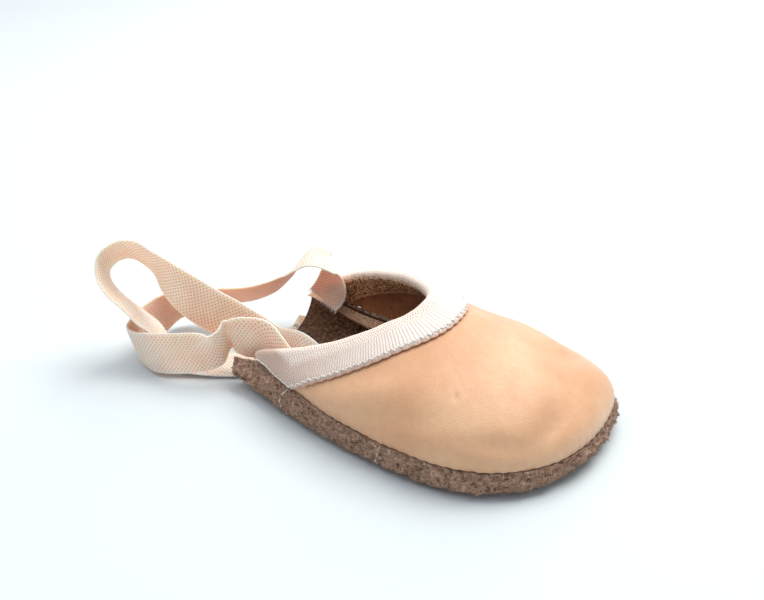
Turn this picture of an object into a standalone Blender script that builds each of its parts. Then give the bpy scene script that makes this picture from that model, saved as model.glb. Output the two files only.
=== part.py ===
"""Half-sole dance slipper for a child: a leather vamp, a suede sole and two elastic heel straps.

+X runs to the toe, +Y to the far side, +Z up. Places along the shoe are measured from the rear edge
of the sole. The origin is on the floor under the ball, where the sole is widest.
The soft shoe stands empty. Its sole is flat on the floor in the middle and dished at the sides,
and the rear edge is lifted so that the upper strap can pass below it.
"""
import math

import bmesh
import bpy
import numpy as np
from mathutils import Vector

# Driving sizes, in metres
SOLE_LENGTH = 0.1228
BALL_HALF_WIDTH = 0.0395
TOE_START = 0.080
TOE_LEAN = 0.007
SOLE_THICKNESS = 0.0018
SEAM_HEIGHT = 0.0095
ROLL_DEPTH = 0.0065
REAR_LIFT = 0.0035
REAR_RUN = 0.0230
REAR_BEND = 1.3
REAR_HOLLOW = 0.0035
TOE_SPRING = 0.0022
TOE_SPRING_RUN = 0.0260
UPPER_WALL = 0.0014
THROAT_X = 0.0630
THROAT_HEIGHT = 0.0390
COLLAR_HALF_WIDTH = 0.0230
BINDING_THICKNESS = 0.0010
BINDING_OUTSIDE = 0.0117
BINDING_INSIDE = 0.0085
BINDING_EASE = 0.0006
ALLOWANCE_WIDTH = 0.0065
ALLOWANCE_THICKNESS = 0.0016
STRAP_WIDTH = 0.0150
STRAP_THICKNESS = 0.0011
STRAP_REACH = 0.0520
CLEARANCE = 0.0003

SHARP_ANGLE = math.radians(50)

# Shares of the way from the rear corner to the tip of the toe, and counts
SIDE_SHARE = 0.56
SPINE_REACH = 0.80
SPINE_CURVE = 1.45
HOLLOW_SHARE = 0.30
UPPER_START = 0.065
ALLOWANCE_START = 0.010
RIM_STEPS = 26
ROLL_STEPS = 7
FLAT_STEPS = 3
UPPER_STEPS = 9
FLAP_STEPS = 3
BINDING_STEPS = 6
FOLD_STEPS = 4
FINE_STEPS = 30
STRAP_STEPS = 4
ROW_STEP = 0.02

NEAR = -1
FAR = 1
TOE_SQUARENESS = {NEAR: 2.2, FAR: 2.8}

# The turned-up edge of the sole, by share of the way from the rear corner to the toe.
# width: share of the ball half width. height: share of the seam height. depth: share of the
# roll depth. belly: height of the widest line between underside and seam. tuck: how far the seam
# lies in from the widest line, as a share of the depth.
RIM = {
    NEAR: {
        "along": (0.00, 0.07, 0.21, 0.32, 0.44, 0.56, 0.78, 1.00),
        "width": (0.61, 0.67, 0.81, 0.90, 0.97, 1.00, 1.00, 1.00),
        "height": (1.20, 1.27, 1.17, 1.05, 1.00, 1.00, 0.93, 0.86),
        "depth": (1.60, 1.50, 1.30, 1.10, 1.00, 1.00, 1.00, 1.00),
        "belly": (0.30, 0.32, 0.36, 0.40, 0.44, 0.45, 0.45, 0.45),
        "tuck": (0.14, 0.45, 0.34, 0.22, 0.15, 0.15, 0.15, 0.15),
    },
    FAR: {
        "along": (0.00, 0.06, 0.12, 0.18, 0.25, 0.33, 0.44, 0.56, 0.78, 1.00),
        "width": (0.70, 0.70, 0.70, 0.72, 0.77, 0.85, 0.95, 1.00, 1.00, 1.00),
        "height": (1.72, 1.66, 1.42, 1.24, 1.08, 1.02, 1.00, 1.00, 0.93, 0.86),
        "depth": (3.40, 3.00, 2.40, 1.90, 1.50, 1.20, 1.00, 1.00, 1.00, 1.00),
        "belly": (0.90, 0.88, 0.80, 0.70, 0.60, 0.50, 0.45, 0.45, 0.45, 0.45),
        "tuck": (0.02, 0.03, 0.05, 0.08, 0.12, 0.15, 0.15, 0.15, 0.15, 0.15),
    },
}

# The ribs of the upper, by share of the way from its rear end to the toe. Each is a curve from
# the seam to the collar. x, y, z: the collar, as shares of throat length, collar half width and
# throat height. rise and lean: how far the curve leaves the seam upward and outward, as shares
# of its height. reach: how far it leaves the collar towards the seam, as a share of its run.
# fall: how far it drops there, as a share of its height.
RIBS = {
    NEAR: {
        "along": (0.00, 0.13, 0.27, 0.40, 0.53, 0.66, 0.78, 0.89, 1.00),
        "x": (0.15, 0.40, 0.62, 0.78, 0.88, 0.945, 0.98, 0.995, 1.00),
        "y": (0.91, 1.03, 0.90, 0.70, 0.51, 0.35, 0.22, 0.10, 0.00),
        "z": (0.35, 0.53, 0.67, 0.79, 0.875, 0.925, 0.96, 0.985, 1.00),
        "rise": (0.40, 0.45, 0.50, 0.52, 0.54, 0.55, 0.53, 0.50, 0.46),
        "lean": (0.05, 0.16, 0.18, 0.18, 0.16, 0.13, 0.11, 0.09, 0.07),
        "reach": (0.40, 0.50, 0.50, 0.50, 0.50, 0.50, 0.50, 0.50, 0.50),
        "fall": (0.40, 0.40, 0.34, 0.26, 0.20, 0.18, 0.18, 0.19, 0.20),
    },
    FAR: {
        "along": (0.00, 0.13, 0.27, 0.40, 0.53, 0.66, 0.78, 0.89, 1.00),
        "x": (0.15, 0.26, 0.48, 0.68, 0.82, 0.915, 0.97, 0.993, 1.00),
        "y": (1.13, 1.09, 0.97, 0.86, 0.68, 0.48, 0.30, 0.14, 0.00),
        "z": (0.46, 0.61, 0.79, 0.88, 0.93, 0.96, 0.98, 0.993, 1.00),
        "rise": (0.40, 0.42, 0.36, 0.28, 0.22, 0.20, 0.26, 0.38, 0.46),
        "lean": (0.03, 0.08, 0.06, 0.03, 0.00, -0.01, 0.00, 0.04, 0.07),
        "reach": (0.40, 0.50, 0.50, 0.50, 0.50, 0.50, 0.50, 0.50, 0.50),
        "fall": (0.40, 0.40, 0.38, 0.38, 0.38, 0.37, 0.33, 0.24, 0.20),
    },
}

# How far the free edge of the seam allowance stands off the sole, as a share of its own width.
ALLOWANCE_STAND = {
    NEAR: {"along": (0.00, 0.30, 1.00), "stand": (0.10, 0.08, 0.05)},
    FAR: {"along": (0.00, 0.12, 0.22, 0.33, 0.50, 1.00), "stand": (0.80, 0.75, 0.55, 0.30, 0.10, 0.05)},
}

# The way of each strap from its sewn start, a row for each bend. x, y, z: its middle line, as
# shares of the strap reach, the ball half width and the strap width. aim and tilt: the bearing
# and the rise in degrees of the line across it from lower to upper edge.
LOWER_STRAP = (
    # x, y, z, aim, tilt
    (0.36, -0.51, 0.68, 0, 20),
    (0.24, -0.41, 0.95, 0, 60),
    (0.14, -0.39, 1.12, 20, 75),
    (0.04, -0.44, 1.13, 100, 85),
    (-0.05, -0.47, 1.09, -95, 80),
    (-0.10, -0.48, 1.08, -75, 65),
    (-0.10, -0.56, 0.98, -75, 65),
    (-0.13, -0.64, 0.86, -105, 75),
    (-0.23, -0.71, 0.80, 165, 80),
    (-0.38, -0.78, 0.71, 140, 80),
    (-0.52, -0.83, 0.65, 165, 80),
    (-0.63, -0.82, 0.59, -140, 80),
    (-0.74, -0.76, 0.54, -145, 75),
    (-0.80, -0.63, 0.52, -160, 75),
    (-0.84, -0.45, 0.52, -155, 75),
    (-0.85, -0.25, 0.56, -125, 75),
    (-0.80, -0.10, 0.69, -90, 65),
    (-0.65, 0.03, 0.82, -85, 60),
    (-0.47, 0.15, 0.96, -80, 50),
    (-0.30, 0.24, 1.10, -75, 45),
    (-0.18, 0.35, 1.27, -70, 40),
    (-0.10, 0.46, 1.51, -70, 25),
    (-0.03, 0.52, 1.85, -70, 5),
    (0.07, 0.53, 2.10, -75, -5),
    (0.18, 0.54, 2.08, -70, 5),
    (0.23, 0.57, 1.89, -50, 10),
    (0.24, 0.56, 1.64, -25, 0),
    (0.22, 0.56, 1.37, -15, -10),
    (0.20, 0.53, 1.19, -15, -15),
    (0.18, 0.48, 1.07, -15, -10),
)
UPPER_STRAP = (
    # x, y, z, aim, tilt
    (0.44, -0.40, 1.04, 30, 65),
    (0.20, -0.31, 0.82, 45, 60),
    (0.02, -0.29, 0.97, 45, 60),
    (-0.15, -0.34, 1.25, 50, 60),
    (-0.29, -0.43, 1.58, 45, 55),
    (-0.42, -0.49, 1.91, 30, 60),
    (-0.55, -0.50, 2.18, -5, 60),
    (-0.68, -0.48, 2.43, -40, 55),
    (-0.80, -0.49, 2.62, -50, 55),
    (-0.90, -0.54, 2.65, -60, 50),
    (-0.96, -0.62, 2.55, -65, 45),
    (-0.98, -0.70, 2.35, -65, 40),
    (-0.95, -0.75, 2.08, -65, 30),
    (-0.89, -0.75, 1.79, -60, 20),
    (-0.80, -0.72, 1.51, -60, 20),
    (-0.72, -0.68, 1.22, -60, 15),
    (-0.63, -0.63, 0.91, -60, 15),
    (-0.55, -0.61, 0.47, -60, 10),
    (-0.45, -0.57, 0.16, -65, 5),
    (-0.29, -0.47, 0.09, -65, 0),
    (-0.11, -0.34, 0.08, -60, 0),
    (-0.02, -0.20, 0.10, -40, 0),
    (0.03, -0.02, 0.13, -15, -5),
    (0.06, 0.13, 0.15, 0, -10),
)

# Where the straps lie against the shoe. along: share of the way to the toe. distance: from the seam,
# as shares of the strap width. aim and tilt: as above.
UPPER_SEWN = {"along": 0.25, "distance": 0.68, "aim": 10, "tilt": 55}
UPPER_END = {"along": 0.03, "distance": (1.40, 1.12, 0.90), "aim": 0, "tilt": 0}

FINISHES = {
    "outsole": ((0.21, 0.16, 0.12), 0.95),
    "upper": ((0.76, 0.47, 0.27), 0.42),
    "collar_binding": ((0.80, 0.66, 0.54), 0.75),
    "seam_allowance": ((0.42, 0.24, 0.13), 0.90),
    "heel_strap_lower": ((0.82, 0.60, 0.46), 0.80),
    "heel_strap_upper": ((0.78, 0.54, 0.39), 0.80),
}


def clear_scene():
    for item in list(bpy.data.objects):
        bpy.data.objects.remove(item, do_unlink=True)


def finish(name):
    """Principled material in the colour and roughness of the named piece."""
    colour, roughness = FINISHES[name]
    made = bpy.data.materials.new(name)
    made.use_nodes = True
    shader = made.node_tree.nodes["Principled BSDF"]
    shader.inputs["Base Color"].default_value = (*colour, 1.0)
    shader.inputs["Roughness"].default_value = roughness
    shader.inputs["Metallic"].default_value = 0.0
    return made


def place(name, mesh):
    """Turn a bmesh into the named object, with the origin under the ball of the foot."""
    bmesh.ops.recalc_face_normals(mesh, faces=mesh.faces)
    if mesh.calc_volume(signed=True) < 0:
        bmesh.ops.reverse_faces(mesh, faces=mesh.faces)
    bmesh.ops.translate(mesh, verts=mesh.verts, vec=(-TOE_START, 0, 0))
    data = bpy.data.meshes.new(name)
    mesh.to_mesh(data)
    mesh.free()
    data.shade_smooth()
    data.set_sharp_from_angle(angle=SHARP_ANGLE)
    data.materials.append(finish(name))
    made = bpy.data.objects.new(name, data)
    bpy.context.scene.collection.objects.link(made)
    return made


def column(table, name, at):
    """Value of a table's column at a share along it, on a smooth curve."""
    keys = np.array(table["along"], float)
    values = np.array(table[name], float)
    slopes = np.gradient(values, keys)
    at = min(max(at, keys[0]), keys[-1])
    i = min(max(int(np.searchsorted(keys, at)) - 1, 0), len(keys) - 2)
    step = keys[i + 1] - keys[i]
    t = (at - keys[i]) / step
    ends = values[i] * (1 + 2 * t) * (1 - t) ** 2 + values[i + 1] * t * t * (3 - 2 * t)
    return float(ends + step * t * (1 - t) * (slopes[i] * (1 - t) - slopes[i + 1] * t))


def lift(x):
    """Height of the sole's underside over the floor: lifted at the rear, sprung at the toe."""
    rear = min(max(1.0 - (x - REAR_HOLLOW) / REAR_RUN, 0.0), 1.0)
    toe = max(x - (SOLE_LENGTH - TOE_SPRING_RUN), 0.0) / TOE_SPRING_RUN
    return REAR_LIFT * rear ** REAR_BEND + TOE_SPRING * toe ** 2


def spine(m):
    """Middle line of the sole in plan, from the rear edge to the toe."""
    x = SPINE_REACH * SOLE_LENGTH * (1 - (1 - m) ** SPINE_CURVE)
    return np.array((x, TOE_LEAN * min(x / TOE_START, 1.0) ** 2))


def widest(side, m):
    """Widest line of the sole in plan, from the rear corner (m = 0) to the tip of the toe (m = 1)."""
    if m <= SIDE_SHARE:
        x = TOE_START * m / SIDE_SHARE
        return np.array((x, side * BALL_HALF_WIDTH * column(RIM[side], "width", m)))
    angle = 0.5 * math.pi * (m - SIDE_SHARE) / (1 - SIDE_SHARE)
    across = BALL_HALF_WIDTH - side * TOE_LEAN
    forward = SOLE_LENGTH - TOE_START
    n = TOE_SQUARENESS[side]
    radius = ((abs(math.cos(angle)) / across) ** n + (abs(math.sin(angle)) / forward) ** n) ** (-1 / n)
    return np.array((TOE_START + radius * math.sin(angle), TOE_LEAN + side * radius * math.cos(angle)))


def plan(side, m, inset):
    """Place in plan on the station m, at a distance in from the widest line."""
    inner = spine(m)
    outer = widest(side, m)
    out = 1 - inset / np.linalg.norm(outer - inner)
    hollow = REAR_HOLLOW * (1 - out * out) * max(1 - m / HOLLOW_SHARE, 0.0) ** 2
    return inner + (outer - inner) * out + np.array((hollow, 0.0))


def roll_depth(side, m):
    return ROLL_DEPTH * column(RIM[side], "depth", m)


def seam_angle(side, m):
    """Angle past the widest line at which the sole's rolled edge ends at the seam."""
    return math.acos(1 - column(RIM[side], "tuck", m))


def rolled_point(side, m, angle):
    """Outer face of the sole's rolled edge, from -90 degrees on the underside to the seam."""
    x, y = plan(side, m, roll_depth(side, m) * (1 - math.cos(angle)))
    low = lift(x)
    height = SEAM_HEIGHT * column(RIM[side], "height", m) - low
    belly = height * column(RIM[side], "belly", m)
    if angle <= 0:
        return np.array((x, y, low + belly * (1 + math.sin(angle))))
    return np.array((x, y, low + belly + (height - belly) * math.sin(angle) / math.sin(seam_angle(side, m))))


def sole_station(side, m, steps):
    """Outer face of one half section of the sole, from the seam down and in to the spine."""
    angles = np.linspace(seam_angle(side, m), -0.5 * math.pi, steps)
    points = [rolled_point(side, m, angle) for angle in angles]
    width = np.linalg.norm(widest(side, m) - spine(m))
    for inset in np.linspace(roll_depth(side, m), width, FLAT_STEPS + 1)[1:]:
        x, y = plan(side, m, inset)
        points.append(np.array((x, y, lift(x))))
    return points


def rib(side, m, steps):
    """Outer face of the upper on one rib, from the seam to the collar."""
    share = (m - UPPER_START) / (1 - UPPER_START)
    table = RIBS[side]
    seam = rolled_point(side, m, seam_angle(side, m)) + np.array((0, 0, CLEARANCE))
    collar = np.array((
        THROAT_X * column(table, "x", share),
        side * COLLAR_HALF_WIDTH * column(table, "y", share),
        THROAT_HEIGHT * column(table, "z", share),
    ))
    outward = plan(side, m, 0.0) - plan(side, m, ROLL_DEPTH)
    outward = np.append(outward / np.linalg.norm(outward), 0.0)
    run = np.append((seam - collar)[:2], 0.0)
    up = np.array((0.0, 0.0, collar[2] - seam[2]))
    first = seam + up * column(table, "rise", share) + outward * up[2] * column(table, "lean", share)
    second = collar + run * column(table, "reach", share) - up * column(table, "fall", share)
    points = []
    for t in np.linspace(0, 1, steps):
        s = 1 - t
        points.append(seam * s ** 3 + first * 3 * t * s * s + second * 3 * t * t * s + collar * t ** 3)
    return points


def walk(start):
    """Stations from the near rear round the toe to the far rear, as pairs of side and share."""
    shares = [start + (1 - start) * i / RIM_STEPS for i in range(RIM_STEPS + 1)]
    return [(NEAR, m) for m in shares] + [(FAR, m) for m in reversed(shares[:-1])]


def outward_normals(grid):
    """Unit normals of a grid of points that point away from the inside of the shoe."""
    cross = np.cross(np.gradient(grid, axis=0), np.gradient(grid, axis=1))
    toe_row = len(grid) // 2
    cross[toe_row, -1] = cross[toe_row, -2]
    cross /= np.linalg.norm(cross, axis=2, keepdims=True)
    return cross if cross[toe_row, 0, 0] > 0 else -cross


def sheet(name, outer, inner, folded=False):
    """Closed sheet between two grids. The last column of a folded one meets itself on the spine,
    and is welded instead of edged."""
    mesh = bmesh.new()
    skins = []
    for grid in (outer, inner):
        skins.append([[mesh.verts.new(Vector(point)) for point in row] for row in grid])
    rows, columns = outer.shape[:2]
    for skin in skins:
        for i in range(rows - 1):
            for j in range(columns - 1):
                mesh.faces.new((skin[i][j], skin[i][j + 1], skin[i + 1][j + 1], skin[i + 1][j]))
    first, second = skins
    for j in (0,) if folded else (0, -1):
        for i in range(rows - 1):
            mesh.faces.new((first[i][j], first[i + 1][j], second[i + 1][j], second[i][j]))
    for i in (0, -1):
        for j in range(columns - 1):
            mesh.faces.new((first[i][j], first[i][j + 1], second[i][j + 1], second[i][j]))
    if folded:
        pairs = {skin[-1 - i][-1]: skin[i][-1] for skin in skins for i in range(rows // 2)}
        bmesh.ops.weld_verts(mesh, targetmap=pairs)
    return place(name, mesh)


def build_outsole():
    """Suede sheet, flat in the middle and rolled up at the sides, cut across at the rear."""
    outer = np.array([sole_station(side, m, ROLL_STEPS) for side, m in walk(0.0)])
    facing = outward_normals(outer)
    shared = facing[:, -1] + facing[::-1, -1]
    facing[:, -1] = shared / np.linalg.norm(shared, axis=1, keepdims=True)
    return sheet("outsole", outer, outer - facing * SOLE_THICKNESS, folded=True)


def build_upper():
    """Leather vamp: one hollow wall from the seam to the collar, open below and at the rear."""
    outer = np.array([rib(side, m, UPPER_STEPS) for side, m in walk(UPPER_START)])
    inner = outer - outward_normals(outer) * UPPER_WALL
    inner[:, 0, 2] = np.maximum(inner[:, 0, 2], outer[:, 0, 2])
    return sheet("upper", outer, inner)


def along_line(points, directions, distance):
    """Point and direction at a distance along a line of points."""
    lengths = np.concatenate([[0.0], np.cumsum(np.linalg.norm(np.diff(points, axis=0), axis=1))])
    point = np.array([np.interp(distance, lengths, points[:, k]) for k in range(3)])
    direction = np.array([np.interp(distance, lengths, directions[:, k]) for k in range(3)])
    return point, direction / np.linalg.norm(direction)


def build_binding():
    """Elastic band folded over the collar, an outer and an inner flap with a round fold between."""
    ribs = np.array([rib(side, m, UPPER_STEPS) for side, m in walk(UPPER_START)])
    facing = outward_normals(ribs)
    near_face, far_face = [], []
    for points, directions in zip(ribs[:, ::-1], facing[:, ::-1]):
        height = np.linalg.norm(np.diff(points, axis=0), axis=1).sum()
        line = []
        outside = min(BINDING_OUTSIDE, height - 2 * CLEARANCE)
        inside = min(BINDING_INSIDE, height - 2 * CLEARANCE)
        for distance in np.linspace(outside, 0, BINDING_STEPS + 1)[:-1]:
            point, direction = along_line(points, directions, distance)
            line.append((point, direction))
        beyond = points[0] - points[1]
        beyond /= np.linalg.norm(beyond)
        middle = points[0] - directions[0] * 0.5 * UPPER_WALL
        for angle in np.linspace(0, math.pi, FOLD_STEPS + 1):
            turned = directions[0] * math.cos(angle) + beyond * math.sin(angle)
            line.append((middle + turned * 0.5 * UPPER_WALL, turned))
        for distance in np.linspace(0, inside, BINDING_STEPS + 1)[1:]:
            point, direction = along_line(points, directions, distance)
            line.append((point - direction * UPPER_WALL, -direction))
        near_face.append([point + direction * BINDING_EASE for point, direction in line])
        far_face.append([point + direction * (BINDING_EASE + BINDING_THICKNESS) for point, direction in line])
    return sheet("collar_binding", np.array(far_face), np.array(near_face))


def build_allowance():
    """Turned-in margins of the seam, lying along the inside of the sole's rolled edge."""
    places = walk(ALLOWANCE_START)
    stations = np.array([sole_station(side, m, FINE_STEPS) for side, m in places])
    facing = outward_normals(stations)
    under, over = [], []
    for (side, m), points, directions in zip(places, stations, facing):
        stand = column(ALLOWANCE_STAND[side], "stand", m)
        low, high = [], []
        for distance in np.linspace(2 * CLEARANCE, ALLOWANCE_WIDTH, FLAP_STEPS + 1):
            point, direction = along_line(points, directions, distance)
            depth = SOLE_THICKNESS + CLEARANCE + stand * distance
            low.append(point - direction * depth)
            high.append(point - direction * (depth + ALLOWANCE_THICKNESS))
        under.append(low)
        over.append(high)
    return sheet("seam_allowance", np.array(under), np.array(over))


def direction_across(aim, tilt):
    """Unit direction with a bearing and a rise in degrees."""
    bearing, rise = math.radians(aim), math.radians(tilt)
    return np.array((math.cos(bearing) * math.cos(rise), math.sin(bearing) * math.cos(rise), math.sin(rise)))


def free_rows(table):
    """Rows of a strap's table as a point and the direction across the strap."""
    rows = []
    for x, y, z, aim, tilt in table:
        point = (STRAP_REACH * x, BALL_HALF_WIDTH * y, STRAP_WIDTH * z)
        rows.append((*point, *direction_across(aim, tilt)))
    return rows


def laid_row(surface, side, lying, distance, depth):
    """Row of a strap that lies against the sole or the upper, at a distance from the seam. depth is
    measured in from the outer face."""
    shares = [lying["along"] + step for step in (-ROW_STEP, 0, ROW_STEP)]
    stations = np.array([surface(side, share, FINE_STEPS) for share in shares])
    facing = np.cross(np.gradient(stations, axis=0), np.gradient(stations, axis=1))[1]
    facing /= np.linalg.norm(facing, axis=1, keepdims=True)
    facing *= side * np.sign(facing[0, 1])
    point, outward = along_line(stations[1], facing, distance * STRAP_WIDTH)
    across = direction_across(lying["aim"], lying["tilt"])
    across -= outward * (across @ outward)
    return (*(point - outward * depth), *(across / np.linalg.norm(across)))


def smooth_rows(rows):
    """Rows on a smooth curve through the given ones."""
    rows = np.array(rows)
    padded = np.vstack([2 * rows[0] - rows[1], rows, 2 * rows[-1] - rows[-2]])
    made = []
    for a, b, c, d in zip(padded, padded[1:], padded[2:], padded[3:]):
        for t in np.linspace(0, 1, STRAP_STEPS, endpoint=False):
            bend = (2 * a - 5 * b + 4 * c - d) * t * t + (3 * b - a - 3 * c + d) * t ** 3
            made.append(0.5 * (2 * b + (c - a) * t + bend))
    made.append(rows[-1])
    return np.array(made)


def build_strap(name, rows):
    """Flat elastic ribbon along its rows."""
    rows = smooth_rows(rows)
    tangents = np.gradient(rows[:, :3], axis=0)
    tangents /= np.linalg.norm(tangents, axis=1, keepdims=True)
    top, bottom = [], []
    for row, tangent in zip(rows, tangents):
        across = row[3:] - tangent * (row[3:] @ tangent)
        across /= np.linalg.norm(across)
        facing = np.cross(across, tangent)
        edges = [row[:3] + across * half for half in (-0.5 * STRAP_WIDTH, 0.5 * STRAP_WIDTH)]
        top.append([edge + facing * 0.5 * STRAP_THICKNESS for edge in edges])
        bottom.append([edge - facing * 0.5 * STRAP_THICKNESS for edge in edges])
    return sheet(name, np.array(top), np.array(bottom))


def build_lower_strap():
    """From the inside of the near rear corner, low round the heel, to the far seam allowance."""
    build_strap("heel_strap_lower", free_rows(LOWER_STRAP))


def build_upper_strap():
    """From inside the near collar, round the large loop and under the rear edge, to the far side."""
    depth = UPPER_WALL + BINDING_THICKNESS + 4 * STRAP_THICKNESS + 2 * CLEARANCE
    start = laid_row(rib, NEAR, UPPER_SEWN, UPPER_SEWN["distance"], depth)
    below = -0.5 * STRAP_THICKNESS - 1.5 * CLEARANCE
    ends = [laid_row(sole_station, FAR, UPPER_END, distance, below) for distance in UPPER_END["distance"]]
    build_strap("heel_strap_upper", [start] + free_rows(UPPER_STRAP) + ends)


def build():
    clear_scene()
    build_outsole()
    build_upper()
    build_binding()
    build_allowance()
    build_lower_strap()
    build_upper_strap()


build()
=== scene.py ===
# %% [markdown]
# # A half-sole dance slipper, dressed for its portrait
#
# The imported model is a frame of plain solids. This lesson lays the real surfaces over them: brushed
# suede, kid leather, knitted elastic and sewing thread. Every length is in metres, +X runs to the
# toe, +Y to the far side and +Z up. Places along the shoe are counted from its rear edge, and each
# finished mesh is moved so that the origin lies under the ball, as in the frame.

import math

import bmesh
import bpy
import numpy as np
from mathutils import Matrix, Vector, noise


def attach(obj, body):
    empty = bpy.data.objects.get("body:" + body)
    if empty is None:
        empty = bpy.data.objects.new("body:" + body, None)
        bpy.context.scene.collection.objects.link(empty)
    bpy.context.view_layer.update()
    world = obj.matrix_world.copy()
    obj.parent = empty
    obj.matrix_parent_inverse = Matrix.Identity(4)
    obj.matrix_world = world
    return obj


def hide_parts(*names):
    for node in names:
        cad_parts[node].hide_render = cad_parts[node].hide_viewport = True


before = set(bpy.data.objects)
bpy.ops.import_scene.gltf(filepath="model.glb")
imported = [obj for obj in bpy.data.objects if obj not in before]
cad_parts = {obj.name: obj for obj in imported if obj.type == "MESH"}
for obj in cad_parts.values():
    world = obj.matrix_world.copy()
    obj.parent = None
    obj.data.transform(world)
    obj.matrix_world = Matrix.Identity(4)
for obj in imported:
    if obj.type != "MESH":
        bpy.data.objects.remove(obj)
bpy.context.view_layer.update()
MM = 0.001
chance = np.random.default_rng(7)

# %% [markdown]
# ## The sizes of the shoe
#
# The sheets of a shoe are easier to dress when the same few sizes that cut them are at hand. Each
# table gives places along the way from the rear corner (0) to the tip of the toe (1), and beside
# them shares of the named sizes, so one curve through a column gives any place between.

# %% Sizes and tables
NEAR = -1
FAR = 1
SOLE_LENGTH = 0.1228
BALL_HALF_WIDTH = 0.0395
TOE_START = 0.080
TOE_LEAN = 0.007
SOLE_THICKNESS = 0.0018
SEAM_HEIGHT = 0.0095
ROLL_DEPTH = 0.0065
REAR_LIFT = 0.0035
REAR_RUN = 0.0230
REAR_HOLLOW = 0.0035
TOE_SPRING = 0.0022
TOE_SPRING_RUN = 0.0260
UPPER_WALL = 0.0014
THROAT_X = 0.0630
THROAT_HEIGHT = 0.0390
COLLAR_HALF_WIDTH = 0.0230
BINDING_THICKNESS = 0.0010
BINDING_OUTSIDE = 0.0117
BINDING_INSIDE = 0.0085
BINDING_EASE = 0.0006
ALLOWANCE_WIDTH = 0.0065
ALLOWANCE_THICKNESS = 0.0016
STRAP_WIDTH = 0.0150
STRAP_THICKNESS = 0.0011
STRAP_REACH = 0.0520
CLEARANCE = 0.0003

# Exponents that bend the spine and the rear lift, and the share of the sole that the spine reaches
SPINE_CURVE = 1.45
REAR_BEND = 1.3
SPINE_REACH = 0.80

# Shares of the way from the rear corner to the tip of the toe
SIDE_SHARE = 0.56
HOLLOW_SHARE = 0.30
UPPER_START = 0.065
ALLOWANCE_START = 0.010

# Exponents of the toe's outline: 2 is an ellipse, and more is squarer.
TOE_SQUARENESS = {NEAR: 2.2, FAR: 2.8}

# The turned-up edge of the sole, by share of the way from the rear corner to the toe.
# width: share of the ball half width. height: share of the seam height. depth: share of the
# roll depth. belly: height of the widest line between underside and seam. tuck: how far the seam
# lies in from the widest line, as a share of the depth.
RIM = {
    NEAR: {
        "along": (0.00, 0.07, 0.21, 0.32, 0.44, 0.56, 0.78, 1.00),
        "width": (0.61, 0.67, 0.81, 0.90, 0.97, 1.00, 1.00, 1.00),
        "height": (1.20, 1.27, 1.17, 1.05, 1.00, 1.00, 0.93, 0.86),
        "depth": (1.60, 1.50, 1.30, 1.10, 1.00, 1.00, 1.00, 1.00),
        "belly": (0.30, 0.32, 0.36, 0.40, 0.44, 0.45, 0.45, 0.45),
        "tuck": (0.14, 0.45, 0.34, 0.22, 0.15, 0.15, 0.15, 0.15),
    },
    FAR: {
        "along": (0.00, 0.06, 0.12, 0.18, 0.25, 0.33, 0.44, 0.56, 0.78, 1.00),
        "width": (0.70, 0.70, 0.70, 0.72, 0.77, 0.85, 0.95, 1.00, 1.00, 1.00),
        "height": (1.72, 1.66, 1.42, 1.24, 1.08, 1.02, 1.00, 1.00, 0.93, 0.86),
        "depth": (3.40, 3.00, 2.40, 1.90, 1.50, 1.20, 1.00, 1.00, 1.00, 1.00),
        "belly": (0.90, 0.88, 0.80, 0.70, 0.60, 0.50, 0.45, 0.45, 0.45, 0.45),
        "tuck": (0.02, 0.03, 0.05, 0.08, 0.12, 0.15, 0.15, 0.15, 0.15, 0.15),
    },
}

# The ribs of the upper, by share of the way from its rear end to the toe. Each is a curve from
# the seam to the collar. x, y, z: the collar, as shares of throat length, collar half width and
# throat height. rise and lean: how far the curve leaves the seam upward and outward, as shares
# of its height. reach: how far it leaves the collar towards the seam, as a share of its run.
# fall: how far it drops there, as a share of its height.
RIB_PLACES = (0.00, 0.13, 0.27, 0.40, 0.53, 0.66, 0.78, 0.89, 1.00)
RIB_REACH = (0.40,) + 8 * (0.50,)
RIBS = {
    NEAR: {
        "along": RIB_PLACES,
        "x": (0.15, 0.40, 0.62, 0.78, 0.88, 0.945, 0.98, 0.995, 1.00),
        "y": (0.91, 1.03, 0.90, 0.70, 0.51, 0.35, 0.22, 0.10, 0.00),
        "z": (0.35, 0.53, 0.67, 0.79, 0.875, 0.925, 0.96, 0.985, 1.00),
        "rise": (0.40, 0.45, 0.50, 0.52, 0.54, 0.55, 0.53, 0.50, 0.46),
        "lean": (0.05, 0.16, 0.18, 0.18, 0.16, 0.13, 0.11, 0.09, 0.07),
        "reach": RIB_REACH,
        "fall": (0.40, 0.40, 0.34, 0.26, 0.20, 0.18, 0.18, 0.19, 0.20),
    },
    FAR: {
        "along": RIB_PLACES,
        "x": (0.15, 0.26, 0.48, 0.68, 0.82, 0.915, 0.97, 0.993, 1.00),
        "y": (1.13, 1.09, 0.97, 0.86, 0.68, 0.48, 0.30, 0.14, 0.00),
        "z": (0.46, 0.61, 0.79, 0.88, 0.93, 0.96, 0.98, 0.993, 1.00),
        "rise": (0.40, 0.42, 0.36, 0.28, 0.22, 0.20, 0.26, 0.38, 0.46),
        "lean": (0.03, 0.08, 0.06, 0.03, 0.00, -0.01, 0.00, 0.04, 0.07),
        "reach": RIB_REACH,
        "fall": (0.40, 0.40, 0.38, 0.38, 0.38, 0.37, 0.33, 0.24, 0.20),
    },
}
print("shoe body", SOLE_LENGTH / MM, "x", 2 * BALL_HALF_WIDTH / MM, "mm, elastic", STRAP_WIDTH / MM, "mm")

# %% [markdown]
# ## Lines over the last
#
# A last is the form that a shoe is sewn over. It could be modelled by pushing points about, but a
# shoe pattern works in sections: each station of the sole runs from the seam down and in to the
# middle, and each rib of the vamp runs from the seam up to the collar. These functions give both.

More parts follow.
